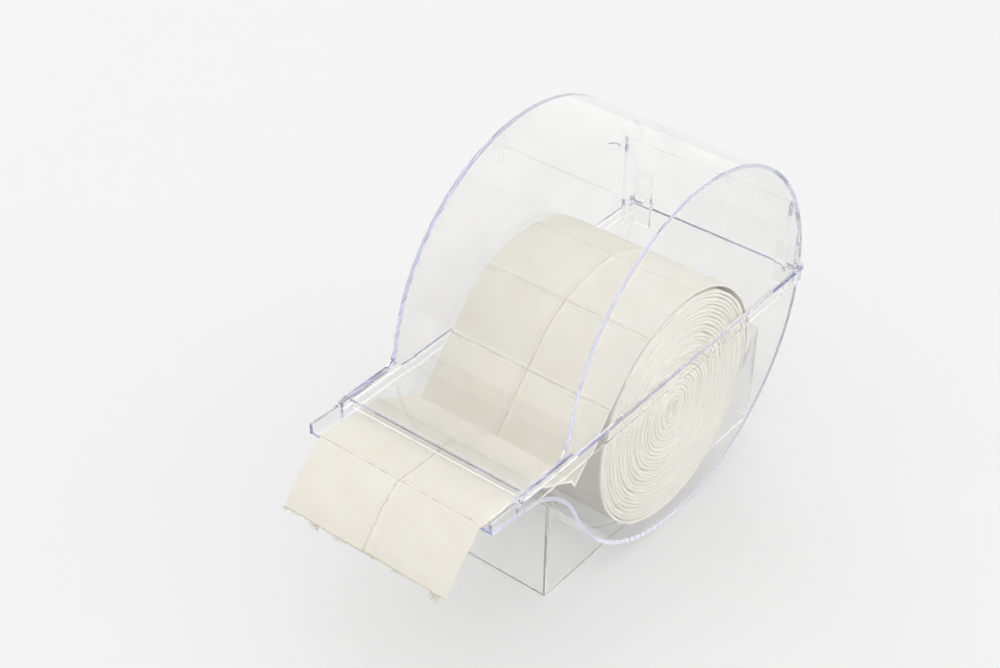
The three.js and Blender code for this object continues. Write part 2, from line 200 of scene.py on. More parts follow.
def seen_directly(tree):
    """One for rays that show a thing itself: to the camera, in a mirror or through plastic."""
    path = tree.nodes.new("ShaderNodeLightPath").outputs
    shown = maths(tree, "MAXIMUM", path["Is Camera Ray"], path["Is Glossy Ray"])
    shown = maths(tree, "MAXIMUM", shown, path["Is Transmission Ray"])
    unscattered = maths(tree, "LESS_THAN", path["Diffuse Depth"], 0.5)
    mirrored = maths(tree, "MULTIPLY", path["Is Glossy Ray"], unscattered)
    return maths(tree, "MULTIPLY", shown, unscattered), mirrored


def object_from(name, form, offset=(0, 0, 0)):
    mesh = bpy.data.meshes.new(name)
    form.to_mesh(mesh)
    form.free()
    mesh.transform(Matrix.Translation(offset))
    return add_object(name, mesh)


def make_floor():
    form = bmesh.new()
    bmesh.ops.create_circle(form, cap_ends=True, segments=FLOOR_SIDES, radius=FLOOR_RADIUS)
    floor = object_from("studio_floor", form, (0, 0, -FLOOR_DROP))
    paint = bpy.data.materials.new("studio_floor")
    paint.use_nodes = True
    tree = paint.node_tree
    sockets = tree.nodes["Principled BSDF"].inputs
    sockets["Base Color"].default_value = FLOOR_TONE
    sockets["Roughness"].default_value = FLOOR_ROUGHNESS
    sockets["Specular IOR Level"].default_value = FLOOR_GLOSS
    sockets["Emission Color"].default_value = WHITE
    shown, _ = seen_directly(tree)
    tree.links.new(maths(tree, "MULTIPLY", shown, FLOOR_GLOW), sockets["Emission Strength"])
    floor.data.materials.append(paint)


make_floor()
print("floor radius", FLOOR_RADIUS)

# %% [markdown]
# Pale surroundings on all sides give light without direction, which keeps the plastic clean.
# Mirrors of one even tone would hide the hood's curve, so what the plastic mirrors fades from
# bright behind the left to dim on the other side. The fade is wide, because a narrow bright
# patch breaks up into dashes along the edges.

# %% Surroundings
WORLD_STRENGTH = 0.90
BACKDROP_STRENGTH = 0.93
VEIL_DIRECTION = (-0.55, 0.66, 0.51)
VEIL_START = -0.6
VEIL_END = 1.0
VEIL_LOW = 0.40
VEIL_HIGH = 1.12


def make_world():
    world = bpy.data.worlds.new("studio")
    world.use_nodes = True
    tree = world.node_tree
    background = tree.nodes["Background"].inputs
    shown, mirrored = seen_directly(tree)
    more = BACKDROP_STRENGTH - WORLD_STRENGTH
    level = maths(tree, "MULTIPLY_ADD", shown, more, WORLD_STRENGTH)
    level = maths(tree, "MULTIPLY", level, maths(tree, "SUBTRACT", 1.0, mirrored))
    looking = tree.nodes.new("ShaderNodeTexCoord").outputs["Generated"]
    towards = vectors(tree, "DOT_PRODUCT", looking, VEIL_DIRECTION).node.outputs["Value"]
    fade = ramp(tree, towards, VEIL_START, VEIL_END, VEIL_LOW, VEIL_HIGH)
    background["Color"].default_value = WHITE
    tree.links.new(maths(tree, "MULTIPLY_ADD", fade, mirrored, level), background["Strength"])
    world.cycles.sampling_method = "NONE"
    bpy.context.scene.world = world


make_world()
print("surroundings at", WORLD_STRENGTH)

# %% [markdown]
# Four large soft lamps give the paper its shape: one high up behind the left, and a low one on
# each of three sides. Rays that bounce around are not allowed to find them, so that no lamp
# shows as a bright box in the plastic. Light passes many faces along an edge of clear plastic,
# and with few bounces those edges would turn black.

# %% Lamps
LAMP_AIM = Vector((0, 0, 0.1))
LIGHT_BOUNCES = 220
TRANSPARENT_BOUNCES = 24


def make_lamp(name, place, width, height, watts):
    data = bpy.data.lights.new(name, "AREA")
    data.shape = "RECTANGLE"
    data.size = width
    data.size_y = height
    data.energy = watts
    data.cycles.use_multiple_importance_sampling = False
    lamp = add_object(name, data)
    lamp.location = place
    lamp.rotation_euler = (LAMP_AIM - Vector(place)).to_track_quat("-Z", "Y").to_euler()


make_lamp("key_softbox", (-2.2, 0.9, 2.3), width=4.0, height=3.0, watts=8)
make_lamp("left_softbox", (-2.9, -0.2, 0.95), width=3.4, height=1.6, watts=10)
make_lamp("right_softbox", (2.9, 0.2, 0.95), width=3.4, height=1.6, watts=24)
make_lamp("front_softbox", (-0.4, -3.0, 0.95), width=3.4, height=1.6, watts=6)
scene = bpy.context.scene
scene.view_settings.view_transform = "Standard"
scene.cycles.max_bounces = LIGHT_BOUNCES
scene.cycles.transmission_bounces = LIGHT_BOUNCES
scene.cycles.glossy_bounces = LIGHT_BOUNCES
scene.cycles.transparent_max_bounces = TRANSPARENT_BOUNCES
print("lamps:", len(bpy.data.lights))

# %% [markdown]
# No moulding is quite even: it has a faint haze where the plastic flowed, and slow waves in its
# faces. An image could show them, but would have to be wrapped round every piece. Noise in the
# object's own space needs no wrapping, so one node group makes both from it, and each plastic
# places the group with its own two colours.

# %% Uneven moulding
# A texture is the detail and the roughness of a noise.
HAZE_SCALE = 28.0
HAZE_TEXTURE = (3.0, 0.6)
HAZE_START = 0.35
HAZE_END = 0.68
WAVE_SCALE = 22.0
WAVE_TEXTURE = (1.0, 0.5)


def moulding_group():
    inputs = [("Place", VECTOR, None), ("Clean", COLOUR, WHITE), ("Hazy", COLOUR, WHITE)]
    inputs += [("Haze Scale", NUMBER, HAZE_SCALE), ("Wave Scale", NUMBER, WAVE_SCALE)]
    outputs = [("Color", COLOUR), ("Height", NUMBER)]
    tree, given, result = new_group("moulded_plastic", "ShaderNodeTree", inputs, outputs)
    flow = noise(tree, given["Place"], given["Haze Scale"], *HAZE_TEXTURE)
    haze = ramp(tree, flow, HAZE_START, HAZE_END, 0.0, 1.0)
    tree.links.new(mix_colours(tree, haze, given["Clean"], given["Hazy"]), result["Color"])
    waves = noise(tree, given["Place"], given["Wave Scale"], *WAVE_TEXTURE)
    tree.links.new(waves, result["Height"])
    return tree


MOULDED = moulding_group()
print("group", MOULDED.name, "nodes:", len(MOULDED.nodes))

# %% [markdown]
# Clear plastic is a real refracting body here: each wall has two faces and the light bends at
# both. Lamps would be blocked by such walls, so rays that only ask for shadow pass straight
# through. The colour comes from inside: a faint violet absorption is invisible across a
# two-millimetre wall and adds up along an edge, where light runs through the sheet lengthways.
# The foot is a little rougher and milkier, and the pins are denser.

# %% Clear plastic
PLASTIC_IOR = 1.49
PLASTIC_ABSORPTION = (0.80, 0.80, 0.925, 1)
PLASTIC_DENSITY = 8.0
SHADOW_TINT = (0.975, 0.975, 0.98, 1)
WAVE_STRENGTH = 0.4
WAVE_DEPTH = 0.3 * MM


def add_bump(tree, height, strength, depth):
    bump = tree.nodes.new("ShaderNodeBump")
    bump.inputs["Strength"].default_value = strength
    bump.inputs["Distance"].default_value = depth
    tree.links.new(height, bump.inputs["Height"])
    tree.links.new(bump.outputs[0], tree.nodes["Principled BSDF"].inputs["Normal"])


def clear_plastic(name, clean, hazy, clarity=1.0, roughness=0.0, density=PLASTIC_DENSITY):
    material = bpy.data.materials.new(name)
    material.use_nodes = True
    tree = material.node_tree
    nodes, links = tree.nodes, tree.links
    shader = nodes["Principled BSDF"]
    effect = nodes.new("ShaderNodeGroup")
    effect.node_tree = MOULDED
    effect.inputs["Clean"].default_value = clean
    effect.inputs["Hazy"].default_value = hazy
    links.new(nodes.new("ShaderNodeTexCoord").outputs["Object"], effect.inputs["Place"])
    links.new(effect.outputs["Color"], shader.inputs["Base Color"])
    add_bump(tree, effect.outputs["Height"], WAVE_STRENGTH, WAVE_DEPTH)
    shader.inputs["Roughness"].default_value = roughness
    shader.inputs["IOR"].default_value = PLASTIC_IOR
    shader.inputs["Transmission Weight"].default_value = clarity
    through = nodes.new("ShaderNodeBsdfTransparent")
    through.inputs["Color"].default_value = SHADOW_TINT
    shadow_ray = nodes.new("ShaderNodeLightPath").outputs["Is Shadow Ray"]
    surface = wire(tree, "ShaderNodeMixShader", shadow_ray, shader.outputs[0], through.outputs[0])
    links.new(surface, nodes["Material Output"].inputs["Surface"])
    inside = nodes.new("ShaderNodeVolumeAbsorption")
    inside.inputs["Color"].default_value = PLASTIC_ABSORPTION
    inside.inputs["Density"].default_value = density
    links.new(inside.outputs[0], nodes["Material Output"].inputs["Volume"])
    return material


CLEAR = clear_plastic(
    "clear_plastic", clean=(0.988, 0.988, 0.982, 1), hazy=(0.963, 0.963, 0.955, 1)
)
MILKY = clear_plastic(
    "milky_plastic", clean=(1.0, 1.0, 0.99, 1), hazy=(0.98, 0.985, 0.965, 1),
    roughness=0.2, density=0.5,
)
PIN = clear_plastic(
    "pin_plastic", clean=(0.72, 0.72, 0.84, 1), hazy=(0.66, 0.66, 0.79, 1),
    clarity=0.5, roughness=0.12,
)
print("plastic with an index of", PLASTIC_IOR)

# %% [markdown]
# The three mouldings are prisms: outlines drawn from the side and pulled across the body. They
# could be traced by hand, but an outline worked out from a few measures can be set in by one
# wall, and the wall is then even round every curve. The frame's boxes give the drum's place.

# %% Measures of the drum and nose
WALL = 2 * MM
SEAT_GAP = 0.3 * MM
base_low, base_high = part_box("base_shell")
lid_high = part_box("lid_hood")[1]
foot_low, foot_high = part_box("foot_stand")
DRUM_Y = (foot_low.y + foot_high.y) / 2
DRUM_RADIUS = lid_high.y - DRUM_Y
DRUM_Z = lid_high.z - DRUM_RADIUS
INNER_RADIUS = DRUM_RADIUS - WALL
RIM_HALF = base_high.x
RIM_OUT = 1.6 * MM
HALF_WIDTH = RIM_HALF - RIM_OUT
INNER_HALF = HALF_WIDTH - WALL
NOSE_REACH = DRUM_Y - base_low.y
NOSE_DROP = 3.8 * MM
NOSE_SLOPE = math.radians(9)
NOSE_FILLET = 57 * MM
print("drum axis at", round(DRUM_Y, 4), round(DRUM_Z, 4), "radius", round(DRUM_RADIUS, 4))

# %% [markdown]
# Half a drum, a hollow curve and the nose's sloping floor make one outline, with the drum's axis
# as its origin. The hollow curve touches both neighbours, so its centre lies one radius below
# the floor and at the two radii's sum from the axis. Arcs are finer than the frame's.

# %% Outlines
ARC_STEP = math.radians(0.4)
NOSE_AHEAD = Vector((-math.cos(NOSE_SLOPE), math.sin(NOSE_SLOPE)))
NOSE_NORMAL = Vector((math.sin(NOSE_SLOPE), math.cos(NOSE_SLOPE)))


def arc(centre, radius, start, end):
    steps = max(2, math.ceil(abs(end - start) / ARC_STEP))
    turns = (start + (end - start) * i / steps for i in range(steps + 1))
    return [(centre[0] + radius * math.cos(a), centre[1] + radius * math.sin(a)) for a in turns]


def fillet_centre():
    start = Vector((-NOSE_REACH, -NOSE_DROP)) - NOSE_NORMAL * NOSE_FILLET
    reach = start.dot(NOSE_AHEAD)
    distance = DRUM_RADIUS + NOSE_FILLET
    back = reach - math.sqrt(reach ** 2 - start.length_squared + distance ** 2)
    return start - NOSE_AHEAD * back


FILLET_CENTRE = fillet_centre()
FILLET_BEARING = math.atan2(FILLET_CENTRE.y, FILLET_CENTRE.x)


def floor_point(inset, y):
    start = FILLET_CENTRE + NOSE_NORMAL * (NOSE_FILLET + inset)
    return start + NOSE_AHEAD * ((y - start.x) / NOSE_AHEAD.x)


def bowl_outline(inset, front, top):
    rear = DRUM_RADIUS - inset
    ahead = FILLET_BEARING + math.pi
    points = [(rear, top)]
    points += arc((0, 0), rear, 0, FILLET_BEARING)
    points += arc(FILLET_CENTRE, NOSE_FILLET + inset, ahead, math.pi / 2 - NOSE_SLOPE)[1:]
    points += [tuple(floor_point(inset, front)), (front, top)]
    return points


print("bowl outline points:", len(bowl_outline(0, -NOSE_REACH, 0)))

# %% [markdown]
# A prism is its outline twice, with a band of faces between. Booleans then join and cut the
# prisms, as a mould maker adds and removes steel. Every prism is closed, and for closed solids
# the manifold solver is quick and leaves no stray faces.

# %% Prisms and booleans
BEYOND = DRUM_RADIUS
SAME_POINT = 1e-7
HINGE_Y = JOINTS["lid_hinge"]["pos_m"][1] - DRUM_Y
HINGE_Z = JOINTS["lid_hinge"]["pos_m"][2] - DRUM_Z


def prism(name, outline, from_x, to_x):
    form = bmesh.new()
    near = [form.verts.new((from_x, y + DRUM_Y, z + DRUM_Z)) for y, z in outline]
    far = [form.verts.new((to_x, y + DRUM_Y, z + DRUM_Z)) for y, z in outline]
    form.faces.new(near)
    form.faces.new(far)
    for i in range(len(near)):
        k = (i + 1) % len(near)
        form.faces.new((near[i], near[k], far[k], far[i]))
    bmesh.ops.remove_doubles(form, verts=form.verts, dist=SAME_POINT)
    bmesh.ops.recalc_face_normals(form, faces=form.faces)
    return object_from(name, form)


def block(name, from_x, to_x, from_y, to_y, from_z, to_z):
    corners = [(from_y, from_z), (to_y, from_z), (to_y, to_z), (from_y, to_z)]
    return prism(name, corners, from_x, to_x)


def bar(name, radius, from_x, to_x):
    return prism(name, arc((HINGE_Y, HINGE_Z), radius, 0, 2 * math.pi)[:-1], from_x, to_x)


def span(side, near, far):
    return (-far, -near) if side < 0 else (near, far)


def settle(piece):
    graph = bpy.context.evaluated_depsgraph_get()
    plain = bpy.data.meshes.new_from_object(piece.evaluated_get(graph))
    piece.modifiers.clear()
    piece.data = plain
    return piece


def combine(piece, tool, how):
    step = piece.modifiers.new("combine", "BOOLEAN")
    step.operation = how
    step.solver = "MANIFOLD"
    step.object = tool
    settle(piece)
    bpy.data.objects.remove(tool)
    return piece


def add(piece, tool):
    return combine(piece, tool, "UNION")


def cut(piece, tool):
    return combine(piece, tool, "DIFFERENCE")


def keep(piece, tool):
    return combine(piece, tool, "INTERSECT")


print("hinge at", round(HINGE_Y, 4), round(HINGE_Z, 4), "from the drum's axis")

# %% [markdown]
# A moulded edge is never sharp, and its highlight is what the eye finds first on clear plastic.
# A bevel rounds the edges after the last boolean, because a boolean would cut across it.
# Weighted normals keep the large faces flat beside the rounding. The same cell gives a finished
# piece its material and its body, and hides the frame's nodes that it stands for.

# %% Rounded edges and finishing
EDGE_ROUND = 0.4 * MM
EDGE_SEGMENTS = 3
EDGE_ANGLE = math.radians(30)
WELD_DISTANCE = 0.01 * MM
FLAT_ANGLE = math.radians(0.1)


def round_edges(piece):
    form = bmesh.new()
    form.from_mesh(piece.data)
    bmesh.ops.remove_doubles(form, verts=form.verts, dist=WELD_DISTANCE)
    bmesh.ops.dissolve_limit(form, angle_limit=FLAT_ANGLE, verts=form.verts, edges=form.edges)
    form.to_mesh(piece.data)
    form.free()
    bevel = piece.modifiers.new("round", "BEVEL")
    bevel.width = EDGE_ROUND
    bevel.segments = EDGE_SEGMENTS
    bevel.limit_method = "ANGLE"
    bevel.angle_limit = EDGE_ANGLE
    bevel.use_clamp_overlap = True
    piece.data.shade_smooth()
    weighted = piece.modifiers.new("flat_faces", "WEIGHTED_NORMAL")
    weighted.keep_sharp = True
    return settle(piece)


def finish_piece(piece, body, slot, material, *nodes):
    piece.data.materials.clear()
    piece.data.materials.append(material)
    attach(piece, body)
    if nodes:
        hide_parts(*nodes)
    print(piece.name, "faces:", len(piece.data.polygons))
    return piece


print("edges rounded by", EDGE_ROUND / MM, "mm")

# %% [markdown]
# The base is one moulding. A bent sheet with a thickness would lose the flat rim, so it is cut
# from a solid instead. A band thickens its rim, the nose is a little wider inside than the drum,
# and the rim is cut down behind the nose so that the lid's rails can drop in. Two ears carry the
# hinge pins.

# %% Base
NOSE_WALL_RISE = 2.6 * MM
TRAY_LENGTH = 20.5 * MM
STEP_REACH = NOSE_REACH - TRAY_LENGTH
RIM_HEIGHT = 6.8 * MM
RIM_CHAMFER = 1.4 * MM
EAR_RADIUS = 3 * MM
PIN_RADIUS = 1 * MM
PIN_BORE = PIN_RADIUS + SEAT_GAP


def make_base():
    outline = bowl_outline(0, -NOSE_REACH, NOSE_WALL_RISE)
    hollow = bowl_outline(WALL, -NOSE_REACH - BEYOND, BEYOND)
    rim = prism("rim", outline, -RIM_HALF, RIM_HALF)
    keep(rim, block("rim_zone", -BEYOND, BEYOND, -2 * BEYOND, 2 * BEYOND, -RIM_HEIGHT, BEYOND))
    base = prism("base_moulding", outline, -HALF_WIDTH, HALF_WIDTH)
    add(base, rim)
    cut(base, prism("hollow", hollow, -INNER_HALF, INNER_HALF))
    tray = prism("tray", hollow, WALL - RIM_HALF, RIM_HALF - WALL)
    keep(tray, block(
        "tray_zone", -BEYOND, BEYOND, -2 * NOSE_REACH, -STEP_REACH, -BEYOND, 2 * BEYOND
    ))
    cut(base, tray)
    seat = [
        (-STEP_REACH, BEYOND),
        (-STEP_REACH, -SEAT_GAP),
        (DRUM_RADIUS - RIM_CHAMFER, -SEAT_GAP),
        (DRUM_RADIUS + RIM_CHAMFER, -SEAT_GAP - 2 * RIM_CHAMFER),
        (2 * DRUM_RADIUS, BEYOND),
    ]
    cut(base, prism("lid_seat", seat, -BEYOND, BEYOND))
    ear = [(HINGE_Y - EAR_RADIUS, -RIM_HEIGHT / 2), (DRUM_RADIUS - RIM_OUT, -RIM_HEIGHT / 2)]
    ear += arc((HINGE_Y, HINGE_Z), EAR_RADIUS, 0, math.pi)
    for side in (-1, 1):
        add(base, prism("ear", ear, *span(side, HALF_WIDTH + SEAT_GAP, RIM_HALF)))
        cut(base, bar("pin_bore", PIN_BORE, *span(side, HALF_WIDTH, RIM_HALF + WALL)))
    return round_edges(base)


finish_piece(make_base(), "base", "clear_plastic", CLEAR, "base_shell")

# %% [markdown]
# The foot is four thin walls under the drum, open below. Their tops follow the drum. Four
# separate walls would each need that curve, so a hollow block is cut once by the outline that
# made the base, a hair larger.

# %% Foot
def make_foot():
    half_length = (foot_high.y - foot_low.y) / 2
    half_width = foot_high.x
    ground = -DRUM_Z
    foot = block("foot_moulding", -half_width, half_width, -half_length, half_length, ground, 0)
    cut(foot, block(
        "foot_hollow", WALL - half_width, half_width - WALL,
        WALL - half_length, half_length - WALL, ground - WALL, WALL,
    ))
    drum = bowl_outline(-SEAT_GAP, -NOSE_REACH, BEYOND)
    cut(foot, prism("drum", drum, -HALF_WIDTH, HALF_WIDTH))
    return round_edges(foot)


finish_piece(make_foot(), "base", "clear_plastic", MILKY, "foot_stand")

# %% [markdown]
# The lid is the upper half of the drum with a flat plate in front. Drum and plate could meet at
# a sharp corner, but a mould rounds it, so a flare joins them and touches both. The hollow has
# the same flare, one wall further in.

# %% Hood outline
PLATE_TOP = 4.2 * MM
PLATE_UNDER = PLATE_TOP - WALL
LIP_SETBACK = 5.4 * MM
LIP_REACH = STEP_REACH - LIP_SETBACK
KNUCKLE_RADIUS = 2.2 * MM
HOOD_FLARE = 13 * MM
FLARE_Z = PLATE_TOP + HOOD_FLARE
FLARE_Y = -math.sqrt((DRUM_RADIUS + HOOD_FLARE) ** 2 - FLARE_Z ** 2)
FLARE_BEARING = math.atan2(FLARE_Z, FLARE_Y)


def flare(inset):
    return arc((FLARE_Y, FLARE_Z), HOOD_FLARE + inset, FLARE_BEARING - math.pi, -math.pi / 2)


def lid_outline():
    points = [(-LIP_REACH, 0)]
    points += arc((HINGE_Y, HINGE_Z), KNUCKLE_RADIUS, -math.pi / 2, 0)
    points += arc((0, 0), DRUM_RADIUS, math.asin(HINGE_Z / DRUM_RADIUS), FLARE_BEARING)[1:]
    return points + flare(0)[1:] + [(-LIP_REACH, PLATE_TOP)]


def lid_hollow():
    points = [(-LIP_REACH - BEYOND, -BEYOND), (INNER_RADIUS, -BEYOND)]
    points += arc((0, 0), INNER_RADIUS, 0, FLARE_BEARING)
    return points + flare(WALL)[1:] + [(-LIP_REACH - BEYOND, PLATE_UNDER)]


print("hood outline points:", len(lid_outline()))

# %% [markdown]
# At the back, two corner lugs reach down inside the base and guide the lid, and on the crown a
# shallow round mark shows where the plastic entered the mould. They are small, but through clear
# walls they are seen from every side, so they are solids of the same kind and not painted on.

# %% Lugs and gate mark
LUG_REACH = 15 * MM
LUG_WIDTH = 13 * MM
LUG_DROP = 12 * MM
LUG_CORNER = 4 * MM
LUG_GAP = 0.5 * MM
GATE_RADIUS = 3.4 * MM
GATE_DEPTH = 0.6 * MM
GATE_SIDES = 32


def make_lug(side):
    outer = INNER_HALF - LUG_GAP
    front = DRUM_RADIUS - LUG_REACH
    back = math.sqrt(INNER_RADIUS ** 2 - LUG_DROP ** 2) - LUG_GAP
    corner = LUG_CORNER - LUG_DROP
    leg = [(front, BEYOND)]
    leg += arc((front + LUG_CORNER, corner), LUG_CORNER, math.pi, 1.5 * math.pi)
    leg += [(back, -LUG_DROP), (back, BEYOND)]
    lug = prism("lug", leg, *span(side, outer - WALL, outer))
    across = span(side, INNER_HALF - LUG_WIDTH, outer)
    add(lug, block("lug_back", *across, back - WALL, back, -LUG_DROP, BEYOND))
    root = prism("lug_root", leg, *span(side, outer - WALL, INNER_HALF + WALL / 2))
    keep(root, block("root_zone", -BEYOND, BEYOND, 0, BEYOND, PLATE_UNDER, BEYOND))
    add(lug, root)
    drum = arc((0, 0), INNER_RADIUS + WALL / 2, 0, 2 * math.pi)[:-1]
    return keep(lug, prism("drum", drum, -HALF_WIDTH, HALF_WIDTH))


def make_gate():
    form = bmesh.new()
    bmesh.ops.create_cone(
        form, cap_ends=True, segments=GATE_SIDES,
        radius1=GATE_RADIUS, radius2=GATE_RADIUS, depth=2 * GATE_DEPTH,
    )
    return object_from("gate", form, (0, DRUM_Y, DRUM_Z + DRUM_RADIUS))


print("lugs reach", LUG_DROP / MM, "mm into the base")

# %% [markdown]
# The lid brings these together. Its plate ends in a tear lip that holds the paper down, two
# rails drop into the base beside it, and the knuckles turn on the hinge pins. The bores are cut
# last, so that nothing added later fills them.

# %% Lid
LIP_DEPTH = 2 * MM
LIP_DROP = 1 * MM
RAIL_OVERLAP = 7 * MM
PIN_LENGTH = 11 * MM


def make_lid():
    lid = prism("lid_moulding", lid_outline(), -HALF_WIDTH, HALF_WIDTH)
    cut(lid, prism("lid_hollow", lid_hollow(), -INNER_HALF, INNER_HALF))
    cut(lid, make_gate())
    lip_back = LIP_DEPTH - LIP_REACH
    lip_half = INNER_HALF - LUG_GAP
    add(lid, block("lip", -INNER_HALF, INNER_HALF, -LIP_REACH, lip_back, 0, PLATE_TOP))
    add(lid, block("lip_edge", -lip_half, lip_half, -LIP_REACH, lip_back, -LIP_DROP, PLATE_UNDER))
    rail_back = RAIL_OVERLAP - DRUM_RADIUS
    rail_front = SEAT_GAP - STEP_REACH
    rail = [(rail_front, 0), (rail_back, 0)]
    rail += [(rail_back - PLATE_TOP, PLATE_TOP), (rail_front, PLATE_TOP)]
    for side in (-1, 1):
        add(lid, prism("rail", rail, *span(side, INNER_HALF, RIM_HALF)))
        add(lid, make_lug(side))
        add(lid, bar("knuckle", KNUCKLE_RADIUS, *span(side, INNER_HALF - LUG_WIDTH, HALF_WIDTH)))
        bore = span(side, RIM_HALF - PIN_LENGTH - SEAT_GAP, RIM_HALF)
        cut(lid, bar("pin_bore", PIN_BORE, *bore))
    return round_edges(lid)


finish_piece(make_lid(), "lid", "clear_plastic", CLEAR, "lid_hood")

# %% [markdown]
# Two small pins hold the lid at the back. Their shape in the frame is already right, so they
# stay as they are and only get their finish, a denser plastic than the walls.

# %% Hinge pins
for title in ("hinge_pin_left", "hinge_pin_right"):
    frame["nodes"][title].material_slots[0].material = PIN
print("pins finished with", PIN.name)

# %% [markdown]
# The paper follows paths drawn from the side, as the mouldings' outlines are. A path is a chain
# of points in the middle plane. A smooth curve object would do as well, but the length of a
# chain is simply the sum of its steps, and that says how much paper lies along it.

# %% Paths
def line_object(name, places):
    mesh = bpy.data.meshes.new(name)
    mesh.from_pydata(places, [(i, i + 1) for i in range(len(places) - 1)], [])
    return add_object(name, mesh)


def path_object(name, points):
    return line_object(name, [(0, y + DRUM_Y, z + DRUM_Z) for y, z in points])


def path_length(points):
    steps = np.diff(np.array(points), axis=0)
    return float(np.hypot(steps[:, 0], steps[:, 1]).sum())


print("paths start at the drum's axis", round(DRUM_Y, 4), round(DRUM_Z, 4))

# %% [markdown]
# All the paper is one kind of thing: a strip with a perforated line across it for every swab and
# one line down its middle. Modelling each stretch by hand would give each its own look, so one
# Geometry Nodes tree makes it along any path. It starts from a flat grid. The grid is crowded
# where the perforations are, because only there does the paper bend sharply, and the lines press
# soft furrows with raised shoulders.

# %% Strip: perforations
SHOULDER_WIDTHS = 3.0
CREASE_WIDTHS = 2.0
HANG_START = 4 * MM
HANG_END = 8 * MM


def places_on_strip(tree, given):
    """Where a grid point lies along and across the strip, crowded towards the perforations."""
    spot = tree.nodes.new("ShaderNodeSeparateXYZ")
    tree.links.new(tree.nodes.new("GeometryNodeInputPosition").outputs[0], spot.inputs[0])
    side = spot.outputs["X"]
    even = maths(tree, "MULTIPLY", maths(tree, "ADD", spot.outputs["Y"], 0.5), given["Length"])
    from_row = maths(tree, "SUBTRACT", even, given["Row Start"])
    beat = maths(tree, "DIVIDE", from_row, given["Row Pitch"])
    wave = maths(tree, "SINE", maths(tree, "MULTIPLY", beat, math.tau))
    sway = maths(tree, "MULTIPLY", maths(tree, "DIVIDE", wave, math.tau), given["Row Pitch"])
    crowd = maths(tree, "MULTIPLY", sway, given["Crowding"])
    inside = maths(tree, "MAXIMUM", maths(tree, "SUBTRACT", even, crowd), 0.0)
    along = maths(tree, "MINIMUM", inside, given["Length"])
    cubed = maths(tree, "MULTIPLY", maths(tree, "POWER", side, 3.0), 4.0)
    eased = maths(tree, "SUBTRACT", cubed, side)
    packed = maths(tree, "MULTIPLY_ADD", eased, given["Crowding"], side)
    return side, along, maths(tree, "MULTIPLY", packed, given["Width"])


def perforations(tree, given, along, across):
    """How deep the lines press the paper in, and the place along it counted in rows."""
    width = given["Furrow Width"]
    from_row = maths(tree, "SUBTRACT", along, given["Row Start"])
    row_count = maths(tree, "DIVIDE", from_row, given["Row Pitch"])
    row_gap = maths(tree, "MULTIPLY", maths(tree, "PINGPONG", row_count, 0.5), given["Row Pitch"])
    lane_gap = maths(tree, "ABSOLUTE", across)
    nearest = maths(tree, "MINIMUM", row_gap, lane_gap)
    groove = ramp(tree, nearest, 0.0, width, given["Furrow Depth"], 0.0)
    beside = maths(tree, "MULTIPLY", width, SHOULDER_WIDTHS)
    shoulder = ramp(tree, nearest, width, beside, given["Shoulder"], 0.0)
    crease_reach = maths(tree, "MULTIPLY", width, CREASE_WIDTHS)
    raised = ramp(tree, lane_gap, 0.0, crease_reach, given["Crease"], 0.0)
    hanging = ramp(tree, from_row, HANG_START, HANG_END, 0.0, 1.0)
    crease = maths(tree, "MULTIPLY", raised, hanging)
    depth = maths(tree, "SUBTRACT", maths(tree, "SUBTRACT", groove, shoulder), crease)
    return depth, row_count


print("shoulders reach", SHOULDER_WIDTHS, "furrow widths")

# %% [markdown]
# Wadding never lies quite flat. It ripples, its loose edges wander, one lane of a hanging end
# droops below the other, and a torn end is bitten back unevenly. A cloth simulation could give
# the ripples but not the tear, and stiff paper hardly drapes, so noise along the strip does all
# four.

# %% Strip: uneven paper
RIPPLE_TEXTURE = (2.0, 0.5)
WANDER_TEXTURE = (3.0, 0.6)
TORN_SCALE = 420.0
TORN_TEXTURE = (3.0, 0.7)
TORN_REACH = 3 * MM
EDGE_SEED = 7.0
EDGE_PULL = 6.0
LANE_BLEND = 4 * MM


def rippled(tree, given, along, across):
    flat = vector_of(tree, across, along, given["Seed"])
    scale = maths(tree, "DIVIDE", 1.0, given["Ripple Size"])
    uneven = maths(tree, "SUBTRACT", noise(tree, flat, scale, *RIPPLE_TEXTURE), 0.5)
    return maths(tree, "MULTIPLY", uneven, given["Ripple"])


def drooped(tree, given, along, across):
    past = maths(tree, "MAXIMUM", maths(tree, "SUBTRACT", along, given["Droop From"]), 0.0)
    right_lane = ramp(tree, across, -LANE_BLEND, LANE_BLEND, 0.0, 1.0)
    return maths(tree, "MULTIPLY", maths(tree, "MULTIPLY", past, given["Droop Slope"]), right_lane)


def sideways(tree, given, side, along, across):
    edge_at = vector_of(tree, side, along, maths(tree, "ADD", given["Seed"], EDGE_SEED))
    scale = maths(tree, "DIVIDE", 1.0, given["Wander Size"])
    uneven = maths(tree, "SUBTRACT", noise(tree, edge_at, scale, *WANDER_TEXTURE), 0.5)
    wander = maths(tree, "MULTIPLY", uneven, given["Edge Wander"])
    from_middle = maths(tree, "ABSOLUTE", maths(tree, "MULTIPLY", side, 2.0))
    strayed = maths(tree, "MULTIPLY", wander, maths(tree, "POWER", from_middle, EDGE_PULL))
    past = maths(tree, "MAXIMUM", maths(tree, "SUBTRACT", along, given["Skew From"]), 0.0)
    skew = maths(tree, "MULTIPLY", past, given["Skew"])
    centre = maths(tree, "ADD", given["Centre"], skew)
    return maths(tree, "ADD", maths(tree, "ADD", across, strayed), centre)


